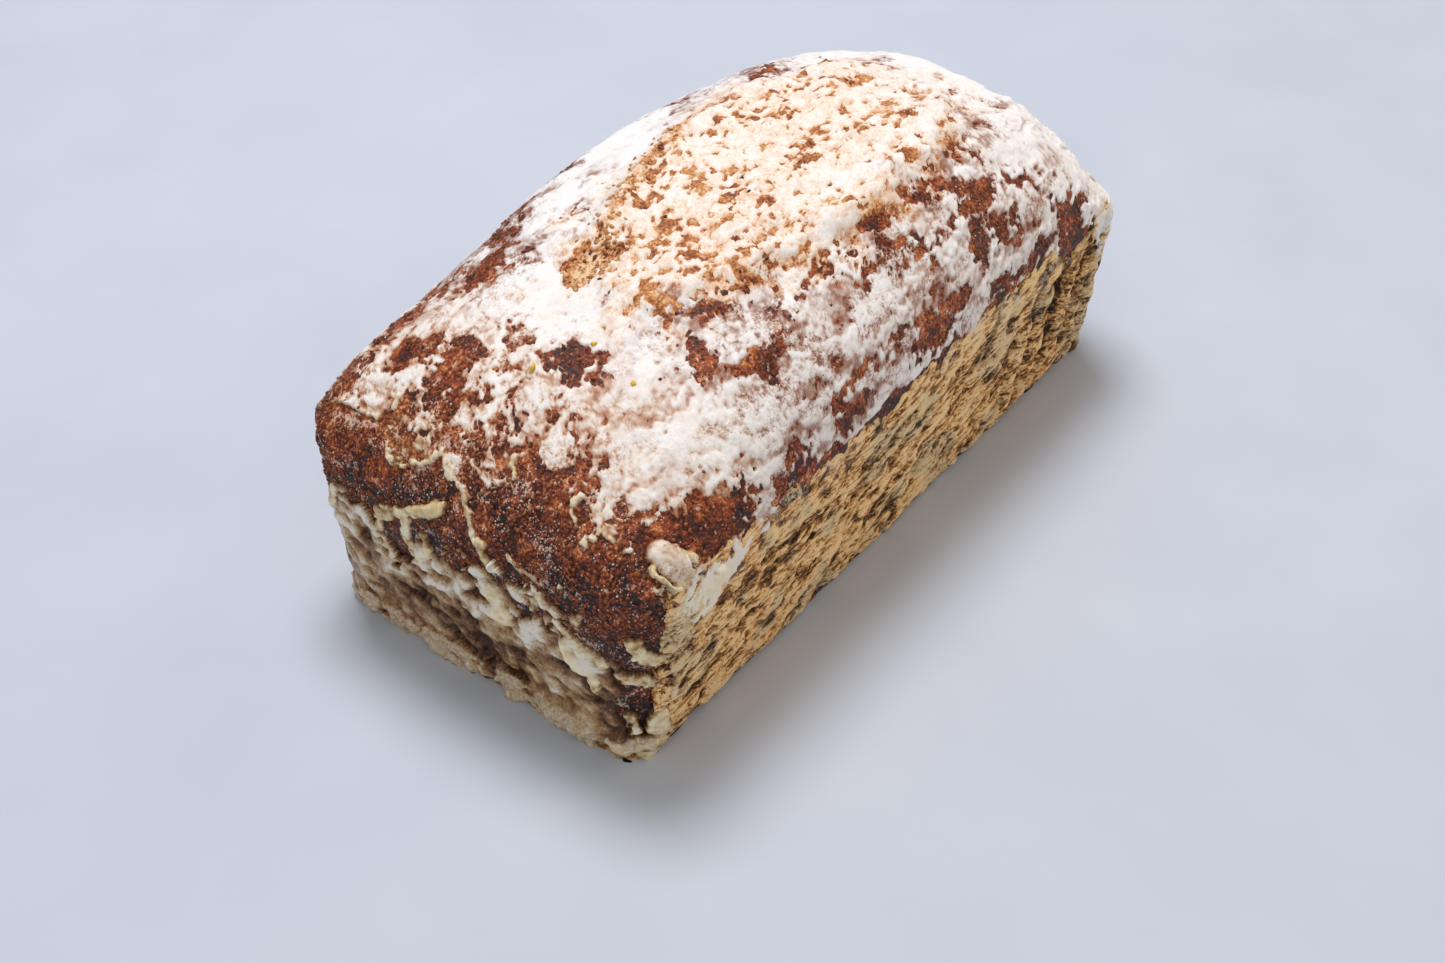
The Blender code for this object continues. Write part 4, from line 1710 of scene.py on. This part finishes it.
@dataclass(frozen=True)
class Scatter:
    """Grains of one kind, spread over a piece by a value that its mesh carries.

    The density is in grains per square metre where that value is 1.
    """

    name: str
    density: float
    smallest: float
    largest: float
    flat: float
    seed: int
    finish: GritFinish

    def tree(self) -> Tree:
        """Builds the node tree that spreads the grains.

        Returns:
            The tree.
        """
        tree = bpy.data.node_groups.new(self.name, "GeometryNodeTree")
        add = partial(add_node, tree)
        for label, kind in (
            ("Geometry", "Geometry"), ("Density", "Float"), ("Smallest", "Float"),
            ("Largest", "Float"), ("Flat", "Float"), ("Seed", "Int"), ("Material", "Material"),
        ):
            tree.interface.new_socket(label, in_out="INPUT", socket_type="NodeSocket" + kind)
        tree.interface.new_socket("Geometry", in_out="OUTPUT", socket_type="NodeSocketGeometry")
        given = add("NodeGroupInput").outputs
        named = {"Name": self.name}
        share = add("GeometryNodeInputNamedAttribute", named, data_type="FLOAT").outputs[0]
        amount = {0: share, 1: given["Density"]}
        spread = add("GeometryNodeDistributePointsOnFaces", {
            "Mesh": given["Geometry"], "Seed": given["Seed"],
            "Density": add("ShaderNodeMath", amount, operation="MULTIPLY").outputs[0],
        }).outputs
        ball = add("GeometryNodeMeshIcoSphere", {"Radius": 1.0, "Subdivisions": 1}).outputs["Mesh"]
        wobble = {0: add("ShaderNodeTexNoise", {"Scale": 1.4}).outputs["Color"], 1: (-0.5,) * 3}
        lumpy = add("GeometryNodeSetPosition", {
            "Geometry": ball,
            "Offset": add("ShaderNodeVectorMath", wobble, operation="ADD").outputs[0],
        }).outputs[0]
        grain = add("GeometryNodeSetShadeSmooth", {0: lumpy, "Shade Smooth": True}).outputs[0]
        chance = partial(add, "FunctionNodeRandomValue")
        sizes = {2: given["Smallest"], 3: given["Largest"], "Seed": given["Seed"]}
        size = chance(sizes, data_type="FLOAT").outputs[1]
        length = chance({2: 0.8, 3: 1.5, "Seed": 5}, data_type="FLOAT").outputs[1]
        stretch = {"X": length, "Y": 1.0, "Z": given["Flat"]}
        scale = {0: add("ShaderNodeCombineXYZ", stretch).outputs[0], "Scale": size}
        turns = {0: (-0.5, -0.5, 0.0), 1: (0.5, 0.5, 6.28), "Seed": 9}
        spin = chance(turns, data_type="FLOAT_VECTOR").outputs[0]
        turned = {"Rotation": spread["Rotation"], "Rotate By": spin}
        rotate = partial(add, "FunctionNodeRotateRotation")
        grains = add("GeometryNodeInstanceOnPoints", {
            "Points": spread["Points"], "Instance": grain,
            "Rotation": rotate(turned, rotation_space="LOCAL").outputs[0],
            "Scale": add("ShaderNodeVectorMath", scale, operation="SCALE").outputs[0],
        }).outputs[0]
        real = add("GeometryNodeRealizeInstances", {0: grains}).outputs[0]
        dressed = {"Geometry": real, "Material": given["Material"]}
        add("NodeGroupOutput", {0: add("GeometryNodeSetMaterial", dressed).outputs[0]})
        return tree

    def build(self, ground: Object) -> Object:
        """Spreads the grains over a piece.

        Args:
            ground: the piece, whose mesh carries a value of this scatter's name.

        Returns:
            The grains as one plain mesh.
        """
        tree = self.tree()
        carrier = link(self.name + " carrier", ground.data.copy())
        spread = carrier.modifiers.new(self.name, "NODES")
        spread.node_group = tree
        values = {
            "Density": self.density, "Smallest": self.smallest * MM / 2,
            "Largest": self.largest * MM / 2, "Flat": self.flat, "Seed": self.seed,
            "Material": self.finish.build(),
        }
        for item in tree.interface.items_tree:
            if item.in_out == "INPUT" and item.name in values:
                spread[item.identifier] = values[item.name]
        bpy.context.view_layer.update()
        seen = carrier.evaluated_get(bpy.context.evaluated_depsgraph_get())
        mesh = bpy.data.meshes.new_from_object(seen)
        bpy.data.objects.remove(carrier)
        for layer in [a for a in mesh.attributes if a.name == self.name]:
            mesh.attributes.remove(layer)
        mesh.name = self.name
        log.info("%s: %d triangles", self.name, len(mesh.polygons))
        return link(self.name, mesh)


CRUMB = GritFinish("crumb grit", "4a1f10", "7c3d22", "b07042", 0.7)
SUGAR = GritFinish("sugar grit", "a78f80", "cdbcae", "efe7de", 0.45)
GOLDEN = GritFinish("golden grit", "95572b", "cf965c", "f2d9b4", 0.7)
SEED = GritFinish("seed grit", "15161a", "2b2c33", "4a4a52", 0.5)
ZEST = GritFinish("zest grit", "c99a12", "e2bc2c", "efdc6a", 0.5)

GRITS_ON_CRUST = (
    Scatter("crust_crumbs", 9.0e5, 0.5, 1.3, 0.8, 3, CRUMB),
    Scatter("sugar_grains", 9.0e5, 0.2, 0.6, 0.6, 4, SUGAR),
)
GRITS_ON_GLAZE = (
    Scatter("golden_crumbs", 9.0e5, 0.6, 1.5, 0.8, 6, GOLDEN),
    Scatter("poppy_seeds", 1.2e3, 0.8, 1.1, 0.85, 8, SEED),
    Scatter("zest_flecks", 1.9e3, 1.2, 3.0, 0.3, 12, ZEST),
)


def main() -> None:
    """Builds the cake's looks and the studio round it."""
    logging.basicConfig(level=logging.INFO, format="%(name)s %(message)s")
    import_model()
    form = LoafForm()
    glaze = GlazeMap(form)
    sugar = GlazeFinish().build()
    film = FilmFinish().build()
    crust = Crust(form, glaze).build(CrustFinish().build())
    settle(crust, replaces=True)
    coats = CrownGlaze(form, glaze).build(sugar)
    coats += [EndCoat(form, glaze, near).build(sugar) for near in (True, False)]
    coats += [WallFilm(form, glaze, near).build(film) for near in (True, False)]
    for coat in coats:
        settle(coat)
    grits = [(kind, crust) for kind in GRITS_ON_CRUST]
    grits += [(kind, coats[0]) for kind in GRITS_ON_GLAZE]
    for kind, ground in grits:
        settle(kind.build(ground))
    Studio().build()


if __name__ == "__main__":
    main()
